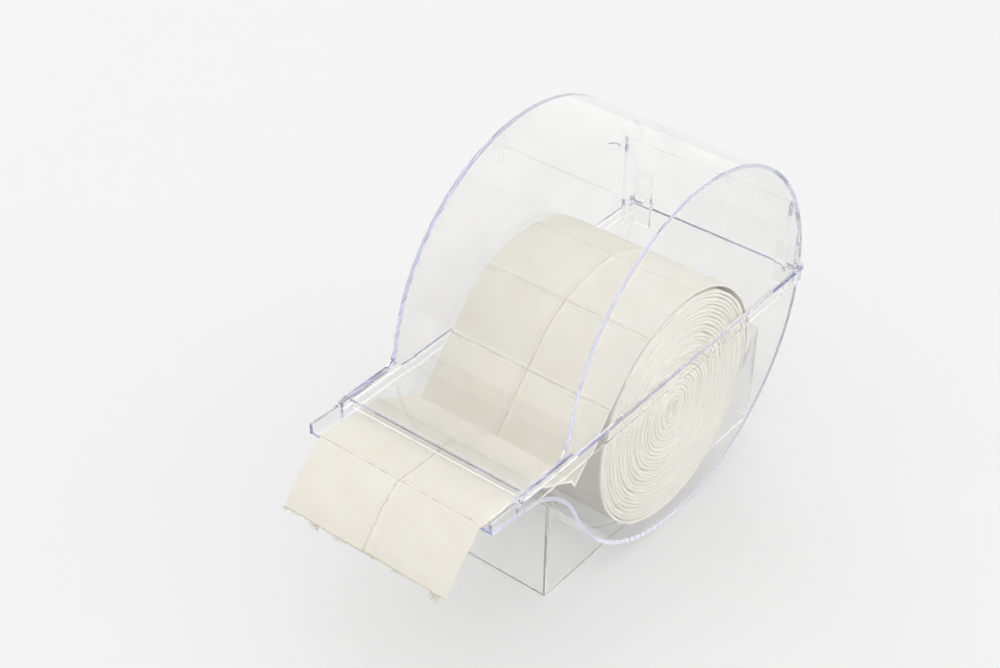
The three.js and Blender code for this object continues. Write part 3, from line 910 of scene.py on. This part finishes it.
def bitten_back(tree, given, along, across):
    bites = noise(tree, vector_of(tree, across, given["Seed"], 0.0), TORN_SCALE, *TORN_TEXTURE)
    to_end = maths(tree, "SUBTRACT", given["Length"], along)
    near_end = ramp(tree, to_end, 0.0, TORN_REACH, 1.0, 0.0)
    torn = maths(tree, "MULTIPLY", maths(tree, "MULTIPLY", bites, near_end), given["Torn Depth"])
    return maths(tree, "MULTIPLY", torn, -1.0)


print("a torn end is uneven over its last", TORN_REACH / MM, "mm")

# %% [markdown]
# The tree lays the grid on the path, lifts each point off it along the path's normal, and shifts
# it sideways. It stores the places along, across and in rows on the mesh, so that the material
# can follow the strip wherever it goes.

# %% Strip: the node tree
STRIP_INPUTS = [
    ("Path", SHAPE, None), ("Length", NUMBER, 0.1), ("Width", NUMBER, 0.1),
    ("Rows", WHOLE, 100), ("Columns", WHOLE, 20), ("Centre", NUMBER, 0.0),
    ("Skew From", NUMBER, 0.0), ("Skew", NUMBER, 0.0), ("Row Start", NUMBER, 0.0),
    ("Row Pitch", NUMBER, 0.04), ("Crowding", NUMBER, 0.0), ("Furrow Depth", NUMBER, 0.0),
    ("Furrow Width", NUMBER, 0.001), ("Shoulder", NUMBER, 0.0), ("Crease", NUMBER, 0.0),
    ("Ripple", NUMBER, 0.0), ("Ripple Size", NUMBER, 0.03), ("Edge Wander", NUMBER, 0.0),
    ("Wander Size", NUMBER, 0.02), ("Droop From", NUMBER, 10.0), ("Droop Slope", NUMBER, 0.0),
    ("Torn Depth", NUMBER, 0.0), ("Seed", NUMBER, 0.0), ("Material", FINISH, None),
]
MESH_OUTPUT = [("Mesh", SHAPE)]


def store(tree, mesh, values):
    for name, value in values:
        mesh = wire(tree, "GeometryNodeStoreNamedAttribute", mesh, None, name, value)
    return mesh


def strip_tree():
    tree, given, result = new_group(
        "perforated_strip", "GeometryNodeTree", STRIP_INPUTS, MESH_OUTPUT
    )
    tree.is_modifier = True
    side, along, across = places_on_strip(tree, given)
    depth, row_count = perforations(tree, given, along, across)
    level = maths(tree, "SUBTRACT", rippled(tree, given, along, across), depth)
    lift = maths(tree, "SUBTRACT", level, drooped(tree, given, along, across))
    follow = tree.nodes.new("GeometryNodeSampleCurve")
    follow.mode = "FACTOR"
    path = wire(tree, "GeometryNodeMeshToCurve", given["Path"])
    tree.links.new(path, follow.inputs["Curves"])
    tree.links.new(maths(tree, "DIVIDE", along, given["Length"]), follow.inputs["Factor"])
    tangent = follow.outputs["Tangent"]
    lifted = scaled(tree, vectors(tree, "CROSS_PRODUCT", tangent, (1, 0, 0)), lift)
    pulled = scaled(tree, tangent, bitten_back(tree, given, along, across))
    sidestep = vector_of(tree, sideways(tree, given, side, along, across), 0.0, 0.0)
    spread = vectors(tree, "ADD", follow.outputs["Position"], sidestep)
    final = vectors(tree, "ADD", spread, vectors(tree, "ADD", lifted, pulled))
    grid = wire(tree, "GeometryNodeMeshGrid", 1.0, 1.0, given["Columns"], given["Rows"])
    marked = store(tree, grid, [("along", along), ("across", across), ("row", row_count)])
    laid = wire(tree, "GeometryNodeSetPosition", marked, None, final)
    smooth = wire(tree, "GeometryNodeSetShadeSmooth", laid)
    real = wire(tree, "GeometryNodeRealizeInstances", smooth)
    painted = wire(tree, "GeometryNodeSetMaterial", real, None, given["Material"])
    tree.links.new(painted, result["Mesh"])
    return tree


STRIP = strip_tree()
print("tree", STRIP.name, "nodes:", len(STRIP.nodes))

# %% [markdown]
# Cellulose wadding is matt, cream and slightly fuzzy. A pattern fixed in the room would slide
# across the turns of the roll, so the finish reads the places stored on the mesh: crepe runs
# across the strip, and stitches of small cuts and bonds follow the perforation lines, wavering
# a little. The stitches carry painted shade: their colour is darkened where shade falls into
# the furrows and cuts. One node group holds this effect.

# %% Cellulose fibres
CREAM = (0.875, 0.845, 0.77, 1)
CREAM_SHADE = (0.86, 0.825, 0.735, 1)
# Painted shade: a darker tone stands in for the shade that falls into the stitched furrows and
# cuts.
STITCH_PAINTED_SHADE = (0.50, 0.45, 0.36, 1)
STITCH_PAINTED_SHADE_SHARE = 0.42
STITCH_LENGTH = 2.6 * MM
DASH_START = 0.08
DASH_END = 0.22
DASH_LOW = 0.45
GROOVE_WIDTH = 0.8 * MM
GROOVE_SHOULDER = 3.5
GROOVE_DRIFT = 2.8 * MM
CREPE_SQUEEZE = 3.0
# Each texture starts with its scale per metre here.
MOTTLE_TEXTURE = (60.0, 4.0, 0.6)
CREPE_TEXTURE = (700.0, 3.0, 0.6)
FUZZ_TEXTURE = (3200.0, 2.0, 0.5)
WAVER_TEXTURE = (260.0, 3.0, 0.6)
MOTTLE_START = 0.35
MOTTLE_END = 0.7
CREPE_RELIEF = 0.45
FUZZ_RELIEF = 0.2
SHOULDER_RELIEF = 0.7
STITCH_RELIEF = 2.0


def pressed_line(tree, given, distance, run, drift):
    """A stitched groove at this distance, whose mask gives its sunken relief and its painted shade,
    and the soft shoulder beside it.
    """
    gap = maths(tree, "ABSOLUTE", maths(tree, "ADD", distance, drift))
    line = ramp(tree, gap, 0.0, given["Groove"], 1.0, 0.0)
    beside = maths(tree, "MULTIPLY", given["Groove"], GROOVE_SHOULDER)
    shoulder = ramp(tree, gap, given["Groove"], beside, 1.0, 0.0)
    beat = maths(tree, "PINGPONG", run, maths(tree, "MULTIPLY", given["Stitch"], 0.5))
    share = maths(tree, "DIVIDE", beat, given["Stitch"])
    dash = ramp(tree, share, DASH_START, DASH_END, 1.0, DASH_LOW)
    return maths(tree, "MULTIPLY", line, dash), shoulder


def fibre_group():
    inputs = [(name, NUMBER, 0.0) for name in ("Along", "Across", "Row")]
    inputs += [("Row Pitch", NUMBER, 0.04), ("Stitch", NUMBER, STITCH_LENGTH)]
    inputs += [("Groove", NUMBER, GROOVE_WIDTH)]
    outputs = [("Color", COLOUR), ("Height", NUMBER)]
    tree, given, result = new_group("cellulose_fibres", "ShaderNodeTree", inputs, outputs)
    along, across = given["Along"], given["Across"]
    flat = vector_of(tree, across, along, 0.0)
    squeezed = vector_of(tree, across, maths(tree, "MULTIPLY", along, CREPE_SQUEEZE), 0.0)
    waver = maths(tree, "SUBTRACT", noise(tree, flat, *WAVER_TEXTURE), 0.5)
    drift = maths(tree, "MULTIPLY", waver, GROOVE_DRIFT)
    to_row = maths(tree, "MULTIPLY", maths(tree, "PINGPONG", given["Row"], 0.5), given["Row Pitch"])
    row, row_shoulder = pressed_line(tree, given, to_row, across, drift)
    lane, lane_shoulder = pressed_line(tree, given, across, along, drift)
    stitch = maths(tree, "MAXIMUM", row, lane)
    shoulder = maths(tree, "MAXIMUM", row_shoulder, lane_shoulder)
    patches = noise(tree, flat, *MOTTLE_TEXTURE)
    mottle = ramp(tree, patches, MOTTLE_START, MOTTLE_END, 0.0, 1.0)
    cream = mix_colours(tree, mottle, CREAM, CREAM_SHADE)
    # Painted shade: the stitch mask darkens the cream where shade falls into the furrows and cuts.
    shade = maths(tree, "MULTIPLY", stitch, STITCH_PAINTED_SHADE_SHARE)
    tree.links.new(mix_colours(tree, shade, cream, STITCH_PAINTED_SHADE), result["Color"])
    crepe = maths(tree, "MULTIPLY", noise(tree, squeezed, *CREPE_TEXTURE), CREPE_RELIEF)
    fuzz = maths(tree, "MULTIPLY", noise(tree, flat, *FUZZ_TEXTURE), FUZZ_RELIEF)
    raised = maths(tree, "MULTIPLY", shoulder, SHOULDER_RELIEF)
    relief = maths(tree, "ADD", maths(tree, "ADD", crepe, fuzz), raised)
    sunk = maths(tree, "MULTIPLY", stitch, STITCH_RELIEF)
    tree.links.new(maths(tree, "SUBTRACT", relief, sunk), result["Height"])
    return tree


FIBRES = fibre_group()
print("group", FIBRES.name, "nodes:", len(FIBRES.nodes))

# %% [markdown]
# The material itself is short: the group gives the colour and the relief, and a rough shader
# with almost no gloss does the rest. It reads each stored place with an Attribute node.

# %% Cellulose
PAPER_ROUGHNESS = 0.95
PAPER_GLOSS = 0.15
FIBRE_STRENGTH = 0.55
FIBRE_DEPTH = 0.35 * MM


def cellulose(name):
    material = bpy.data.materials.new(name)
    material.use_nodes = True
    tree = material.node_tree
    shader = tree.nodes["Principled BSDF"]
    shader.inputs["Roughness"].default_value = PAPER_ROUGHNESS
    shader.inputs["Specular IOR Level"].default_value = PAPER_GLOSS
    effect = tree.nodes.new("ShaderNodeGroup")
    effect.node_tree = FIBRES
    for title in ("along", "across", "row"):
        read = tree.nodes.new("ShaderNodeAttribute")
        read.attribute_name = title
        tree.links.new(read.outputs["Fac"], effect.inputs[title.title()])
    tree.links.new(effect.outputs["Color"], shader.inputs["Base Color"])
    add_bump(tree, effect.outputs["Height"], FIBRE_STRENGTH, FIBRE_DEPTH)
    return material


CELLULOSE = cellulose("cellulose")
print("paper finished with", CELLULOSE.name)

# %% [markdown]
# A tree runs on an object as a modifier, and a modifier's inputs are set by the socket's
# identifier. Solidify then gives the strip its thickness on both sides of the path, and the
# result is made a plain mesh, because the export keeps no modifiers.

# %% Laying a strip
def run_tree(piece, tree, values):
    step = piece.modifiers.new(tree.name, "NODES")
    step.node_group = tree
    for item in tree.interface.items_tree:
        if item.in_out == "INPUT" and item.name in values:
            step[item.identifier] = values[item.name]


def make_strip(name, points, thickness, **values):
    piece = path_object(name, points)
    length = path_length(points)
    named = {key.replace("_", " "): value for key, value in values.items()}
    run_tree(piece, STRIP, {"Length": length, "Material": CELLULOSE, **named})
    thick = piece.modifiers.new("thickness", "SOLIDIFY")
    thick.thickness = thickness
    thick.offset = 0
    settle(piece)
    print(name, "faces:", len(piece.data.polygons), "path", round(length / MM, 1), "mm")
    return piece


print("strips are laid with", STRIP.name)

# %% [markdown]
# The paper has four straight runs. From the torn end it hangs down from the nose, runs back
# under the lip, dips to a fold in front of the roll, climbs to the roll and lies over its top.
# It bends where it is perforated, because that is where such paper is weak. These places are
# worked out first, since both the roll and the sheet need them.

# %% Measures of the paper
SWAB_LENGTH = 40 * MM
CAD_PAPER = 1.8 * MM
WEB_OVERHANG = 1.2 * MM
WEB_DIP = math.radians(4)
WEB_FALL = math.radians(30)
ROLL_RADIUS = 69.3 * MM
ROLL_PLACE = JOINTS["roll_turn"]["pos_m"]
ROLL_CENTRE = Vector((ROLL_PLACE[1] - DRUM_Y, ROLL_PLACE[2] - DRUM_Z))
WRAP_GAP = 2.2 * MM
WRAP_RADIUS = ROLL_RADIUS + WRAP_GAP


def heading(angle, reach=1.0):
    return Vector((math.cos(angle), math.sin(angle))) * reach


NOSE_FOLD = floor_point(WALL + SEAT_GAP + CAD_PAPER / 2, -NOSE_REACH - WEB_OVERHANG)
HIGH_FOLD = NOSE_FOLD + heading(-WEB_DIP, SWAB_LENGTH)
LOW_FOLD = HIGH_FOLD + heading(-WEB_FALL, SWAB_LENGTH)
VALLEY_SHIFT = Vector((-0.2, -3.8)) * MM
VALLEY = LOW_FOLD + VALLEY_SHIFT
RIDGE_SHIFT = Vector((-2.6, 1.4)) * MM
RIDGE = LOW_FOLD + RIDGE_SHIFT
FOLD_ARM = VALLEY - ROLL_CENTRE
WRAP_BEARING = math.atan2(FOLD_ARM.y, FOLD_ARM.x) - math.acos(WRAP_RADIUS / FOLD_ARM.length)
print("paper leaves the roll at", round(math.degrees(WRAP_BEARING), 1), "degrees")

# %% [markdown]
# The roll lies on the bottom of the drum. Rings inside each other would be simpler, but a real
# roll is one strip, and its end face shows that. Its inner turns are one long spiral that
# loosens where the roll has slumped, so that some gaps open and show dark, and its core is
# crushed to an upright slit.

# %% Spiral
ROLL_TURNS = 29
TURN_THICKNESS = 1.65 * MM
SKIN_GAP = 0.4 * MM
OUTER_TURN = ROLL_RADIUS - TURN_THICKNESS / 2 - SKIN_GAP
CORE_RADIUS = 3.7 * MM
CORE_CRUSH = 1.9 * MM
CRUSH_FADE = 6
SLUMP_BEARING = math.radians(55)
SLACK_LEAST = 0.10 * MM
SLACK_SLUMPED = 0.26 * MM
SLACK_FADE = 6
TURN_PHASE = 2.4
SWAY_SWING = 5
SWAY_PACE = 1.7


def roll_point(turn, loosen=1.0):
    bearing = WRAP_BEARING + 2 * math.pi * turn
    share = turn / ROLL_TURNS
    crush = -CORE_CRUSH * (1 - share) ** CRUSH_FADE * math.cos(2 * bearing)
    slack = SLACK_LEAST + SLACK_SLUMPED * math.cos(bearing - SLUMP_BEARING) ** 2
    sway = math.sin(TURN_PHASE * math.floor(turn) + SWAY_SWING * math.sin(SWAY_PACE * turn))
    wobble = slack * sway * min(1, SLACK_FADE * (1 - share))
    radius = CORE_RADIUS + (OUTER_TURN - CORE_RADIUS) * share + crush + loosen * wobble
    return tuple(ROLL_CENTRE + heading(bearing, radius))


print("turns are", round((OUTER_TURN - CORE_RADIUS) / ROLL_TURNS / MM, 2), "mm apart")

# %% [markdown]
# The outermost turn is a finer strip of its own, because only there can the perforations be
# seen, and a roll as fine as that throughout would have millions of faces. The two are joined
# into one piece.

# %% Roll
ROLL_WIDTH = 102 * MM
INNER_WIDTH = ROLL_WIDTH - 1 * MM
ROLL_SHIFT = -1.2 * MM
SKIN_ROW_BEARING = math.radians(163)
INNER_STEPS = 96
SKIN_STEPS = 360


def join(first, *others):
    with bpy.context.temp_override(active_object=first, selected_editable_objects=[first, *others]):
        bpy.ops.object.join()
    return first


def make_roll():
    inner = [roll_point(i / INNER_STEPS) for i in range((ROLL_TURNS - 1) * INNER_STEPS + 1)]
    outer = [roll_point(ROLL_TURNS - 1 + i / SKIN_STEPS, 0) for i in range(SKIN_STEPS + 1)]
    turns = make_strip(
        "swab_roll_paper", inner, TURN_THICKNESS, Width=INNER_WIDTH, Rows=len(inner),
        Columns=7, Centre=ROLL_SHIFT, Edge_Wander=3.2 * MM, Wander_Size=24 * MM, Seed=3.0,
    )
    first_row = (SKIN_ROW_BEARING - WRAP_BEARING) % (2 * math.pi) * OUTER_TURN
    skin = make_strip(
        "roll_skin", outer, TURN_THICKNESS, Width=ROLL_WIDTH, Rows=300, Columns=72,
        Centre=ROLL_SHIFT, Row_Start=first_row, Row_Pitch=SWAB_LENGTH,
        Furrow_Depth=0.45 * MM, Furrow_Width=1.4 * MM, Ripple=0.5 * MM, Ripple_Size=34 * MM,
        Edge_Wander=1.6 * MM, Wander_Size=24 * MM, Seed=5.0,
    )
    return join(turns, skin)


finish_piece(make_roll(), "roll", "cellulose", CELLULOSE, "swab_roll")

# %% [markdown]
# The paper that has left the roll is one sheet, from the roll's back over its top to the two
# swabs that hang over the nose. Its path comes first. Straight runs that met in corners would
# look like card, so each fold is a short curve, and the hanging end bends on a little more as
# it goes.

# %% Path of the feed sheet
WEB_ROWS = 8
WEB_FOLD = 4 * MM
LOW_FOLD_REACH = 1.6 * MM
FOLD_STEPS = 8
NOSE_FOLD_LENGTH = 3.2 * MM
FLAP_STEPS = 40
FLAP_FALL = math.radians(34)
FLAP_SAG = math.radians(16)


def round_fold(before, fold, after, reach):
    start = fold + (before - fold).normalized() * reach
    end = fold + (after - fold).normalized() * reach
    shares = [i / FOLD_STEPS for i in range(FOLD_STEPS + 1)]
    return [tuple(start * (1 - s) ** 2 + fold * 2 * s * (1 - s) + end * s ** 2) for s in shares]


def web_path():
    straight = math.sqrt(FOLD_ARM.length_squared - WRAP_RADIUS ** 2)
    wrapped = (WEB_ROWS - 2) * SWAB_LENGTH - straight
    points = arc(ROLL_CENTRE, WRAP_RADIUS, WRAP_BEARING - wrapped / WRAP_RADIUS, WRAP_BEARING)
    points += round_fold(Vector(points[-1]), VALLEY, RIDGE, LOW_FOLD_REACH)
    points += round_fold(VALLEY, RIDGE, HIGH_FOLD, LOW_FOLD_REACH)
    points += round_fold(RIDGE, HIGH_FOLD, NOSE_FOLD, WEB_FOLD)
    points.append(tuple(NOSE_FOLD))
    return points


def flap_path():
    points = []
    point = NOSE_FOLD
    for i in range(FLAP_STEPS):
        gone = (i + 0.5) / FLAP_STEPS * SWAB_LENGTH
        folded = min(1.0, gone / NOSE_FOLD_LENGTH)
        turn = folded * (WEB_DIP + FLAP_FALL) + FLAP_SAG * gone / SWAB_LENGTH
        point = point + heading(math.pi - WEB_DIP + turn, SWAB_LENGTH / FLAP_STEPS)
        points.append(tuple(point))
    return points


FEED_PATH = web_path() + flap_path()
FEED_LENGTH = path_length(FEED_PATH)
FOLD_AT = path_length(web_path())
print("feed path", round(FEED_LENGTH / MM, 1), "mm, nose fold at", round(FOLD_AT / MM, 1), "mm")

# %% [markdown]
# The strip's tree lays the sheet along this path, a little askew, because the paper lies further
# right on the nose than on the roll. Its two ends need a further touch: the hidden one thins
# down on to the roll, so that it leaves no step there, and the torn one is feathered, so that
# its two faces come together towards the edge.

# %% Feed sheet
PAPER_WIDTH = 101.5 * MM
PAPER_THICKNESS = 1.2 * MM
SHEET_PITCH = 41.2 * MM
NOSE_SHIFT = 2 * MM
SKEW_LENGTH = 3.5 * SWAB_LENGTH
RIGHT_LANE_DROOP = math.tan(math.radians(4))
RIM_ANGLE = math.radians(55)
START_TAPER = 60 * MM
END_TAPER = 7 * MM
END_THINNING = 0.8


def places_along(sheet):
    along = np.empty(len(sheet.data.vertices), np.float32)
    sheet.data.attributes["along"].data.foreach_get("value", along)
    return along


def thin_end(sheet):
    vertices = sheet.data.vertices
    along = places_along(sheet)
    half = len(vertices) // 2
    for i in range(half):
        share = (along[i] - FEED_LENGTH + END_TAPER) / END_TAPER
        if share > 0:
            above, below = vertices[i], vertices[i + half]
            below.co = below.co.lerp(above.co, END_THINNING * min(1.0, share))


def lay_start(sheet):
    centre = Vector((0, ROLL_CENTRE.x + DRUM_Y, ROLL_CENTRE.y + DRUM_Z))
    for vertex, gone in zip(sheet.data.vertices, places_along(sheet)):
        if gone < START_TAPER:
            arm = vertex.co - centre
            reach = math.hypot(arm.y, arm.z)
            wanted = ROLL_RADIUS + (reach - ROLL_RADIUS) * gone / START_TAPER
            vertex.co.y = centre.y + arm.y * wanted / reach
            vertex.co.z = centre.z + arm.z * wanted / reach


def make_feed():
    sheet = make_strip(
        "swab_feed_paper", FEED_PATH, PAPER_THICKNESS, Width=PAPER_WIDTH, Rows=420, Columns=101,
        Centre=ROLL_SHIFT, Skew_From=FOLD_AT - SKEW_LENGTH,
        Skew=(NOSE_SHIFT - ROLL_SHIFT) / SKEW_LENGTH, Row_Start=FOLD_AT, Row_Pitch=SHEET_PITCH,
        Crowding=0.7, Furrow_Depth=0.6 * MM, Furrow_Width=1.0 * MM, Shoulder=0.35 * MM,
        Crease=0.9 * MM, Ripple=0.7 * MM, Ripple_Size=30 * MM, Edge_Wander=1.2 * MM,
        Wander_Size=18 * MM, Droop_From=FOLD_AT, Droop_Slope=RIGHT_LANE_DROOP,
        Torn_Depth=2.6 * MM, Seed=11.0,
    )
    sheet.data.set_sharp_from_angle(angle=RIM_ANGLE)
    lay_start(sheet)
    thin_end(sheet)
    return finish_piece(
        sheet, "base", "cellulose", CELLULOSE, "swab_web", "lead_swab_left", "lead_swab_right"
    )


FEED = make_feed()

# %% [markdown]
# Torn cellulose leaves a fringe of fine fibres and a few tufts, and the end looks soft for that
# reason. Hair particles would be lost in the export, so each fibre is a bent hair of a few
# faces. A tree sets them along the torn edge, turns each a little its own way, and lets slow
# noise decide where tufts stand out.

# %% Fringe as a node tree
FIBRE_BEND = 0.3
FIBRE_BEND_AT = 0.6
FIBRE_STEPS = 4
FIBRE_SIDES = 3
TUFT_TEXTURE = (130.0, 1.0, 0.5)
TUFT_START = 0.52
TUFT_END = 0.68
TUFT_LOW = 0.4
TUFT_HIGH = 1.7
SHORTEST_FIBRE = 0.35
AWAY_FROM_LINES = [("along", 0.01), ("across", 0.02), ("row", 0.3)]
FRINGE_INPUTS = [
    ("Edge", SHAPE, None), ("Count", WHOLE, 100), ("Length", NUMBER, 0.002),
    ("Radius", NUMBER, 0.0001), ("Spread", NUMBER, 0.5), ("Direction", VECTOR, None),
    ("Seed", WHOLE, 1), ("Material", FINISH, None),
]


def one_fibre(tree, given):
    aside = maths(tree, "MULTIPLY", given["Length"], FIBRE_BEND)
    bend = vector_of(tree, aside, 0.0, maths(tree, "MULTIPLY", given["Length"], FIBRE_BEND_AT))
    tip = vector_of(tree, 0.0, 0.0, given["Length"])
    hair = wire(tree, "GeometryNodeCurveQuadraticBezier", FIBRE_STEPS, (0, 0, 0), bend, tip)
    ring = wire(tree, "GeometryNodeCurvePrimitiveCircle", FIBRE_SIDES)
    tree.links.new(given["Radius"], ring.node.inputs["Radius"])
    fibre = wire(tree, "GeometryNodeCurveToMesh", hair, ring)
    fibre.node.inputs["Fill Caps"].default_value = True
    return fibre


def chance(tree, seed, kind, socket, low, high):
    node = tree.nodes.new("FunctionNodeRandomValue")
    node.data_type = kind
    node.inputs[2 * socket].default_value = low
    node.inputs[2 * socket + 1].default_value = high
    tree.links.new(seed, node.inputs["Seed"])
    return node.outputs[socket]


def fringe_tree():
    tree, given, result = new_group("torn_fringe", "GeometryNodeTree", FRINGE_INPUTS, MESH_OUTPUT)
    tree.is_modifier = True
    edge = wire(tree, "GeometryNodeMeshToCurve", given["Edge"])
    places = wire(tree, "GeometryNodeResampleCurve", edge, None, given["Count"])
    turn_seed = maths(tree, "ADD", given["Seed"], 1)
    astray = chance(tree, turn_seed, "FLOAT_VECTOR", 0, (-1, -1, -1), (1, 1, 1))
    aim = vectors(tree, "ADD", given["Direction"], scaled(tree, astray, given["Spread"]))
    turn = wire(tree, "FunctionNodeAlignRotationToVector", None, 1.0, aim, axis="Z")
    spot = tree.nodes.new("GeometryNodeInputPosition").outputs[0]
    clumps = noise(tree, spot, *TUFT_TEXTURE)
    tuft = ramp(tree, clumps, TUFT_START, TUFT_END, TUFT_LOW, TUFT_HIGH)
    size_seed = maths(tree, "ADD", given["Seed"], 2)
    size = maths(tree, "MULTIPLY", tuft, chance(tree, size_seed, "FLOAT", 1, SHORTEST_FIBRE, 1.0))
    fibre = one_fibre(tree, given)
    fringe = wire(tree, "GeometryNodeInstanceOnPoints", places, None, fibre, None, None, turn, size)
    real = wire(tree, "GeometryNodeRealizeInstances", fringe)
    marked = store(tree, real, AWAY_FROM_LINES)
    painted = wire(tree, "GeometryNodeSetMaterial", marked, None, given["Material"])
    tree.links.new(painted, result["Mesh"])
    return tree


FRINGE_TREE = fringe_tree()
print("tree", FRINGE_TREE.name, "nodes:", len(FRINGE_TREE.nodes))

# %% [markdown]
# The fringe needs the torn edge as a line. It is read off the finished sheet, halfway between
# its two faces, so that the fibres start inside the paper and follow every bite.

# %% Torn fibres
FIBRE_COUNT = 900
FIBRE_LENGTH = 3.4 * MM
FIBRE_RADIUS = 0.11 * MM
FIBRE_SPREAD = 0.75
FIBRE_SEED = 4
LAST_ROW = 0.01 * MM


def torn_edge(sheet):
    vertices = sheet.data.vertices
    along = places_along(sheet)
    half = len(along) // 2
    last = [int(i) for i in np.flatnonzero(along[:half] > along.max() - LAST_ROW)]
    points = [tuple((vertices[i].co + vertices[i + half].co) / 2) for i in last]
    return sorted(points, key=lambda point: point[0])


def make_fringe(sheet):
    fringe = line_object("torn_fibres", torn_edge(sheet))
    fall = heading(math.pi + FLAP_FALL + FLAP_SAG)
    run_tree(fringe, FRINGE_TREE, {
        "Count": FIBRE_COUNT, "Length": FIBRE_LENGTH, "Radius": FIBRE_RADIUS,
        "Spread": FIBRE_SPREAD, "Direction": (0, fall.x, fall.y), "Seed": FIBRE_SEED,
        "Material": CELLULOSE,
    })
    settle(fringe)
    return finish_piece(fringe, "base", "cellulose", CELLULOSE)


FRINGE = make_fringe(FEED)
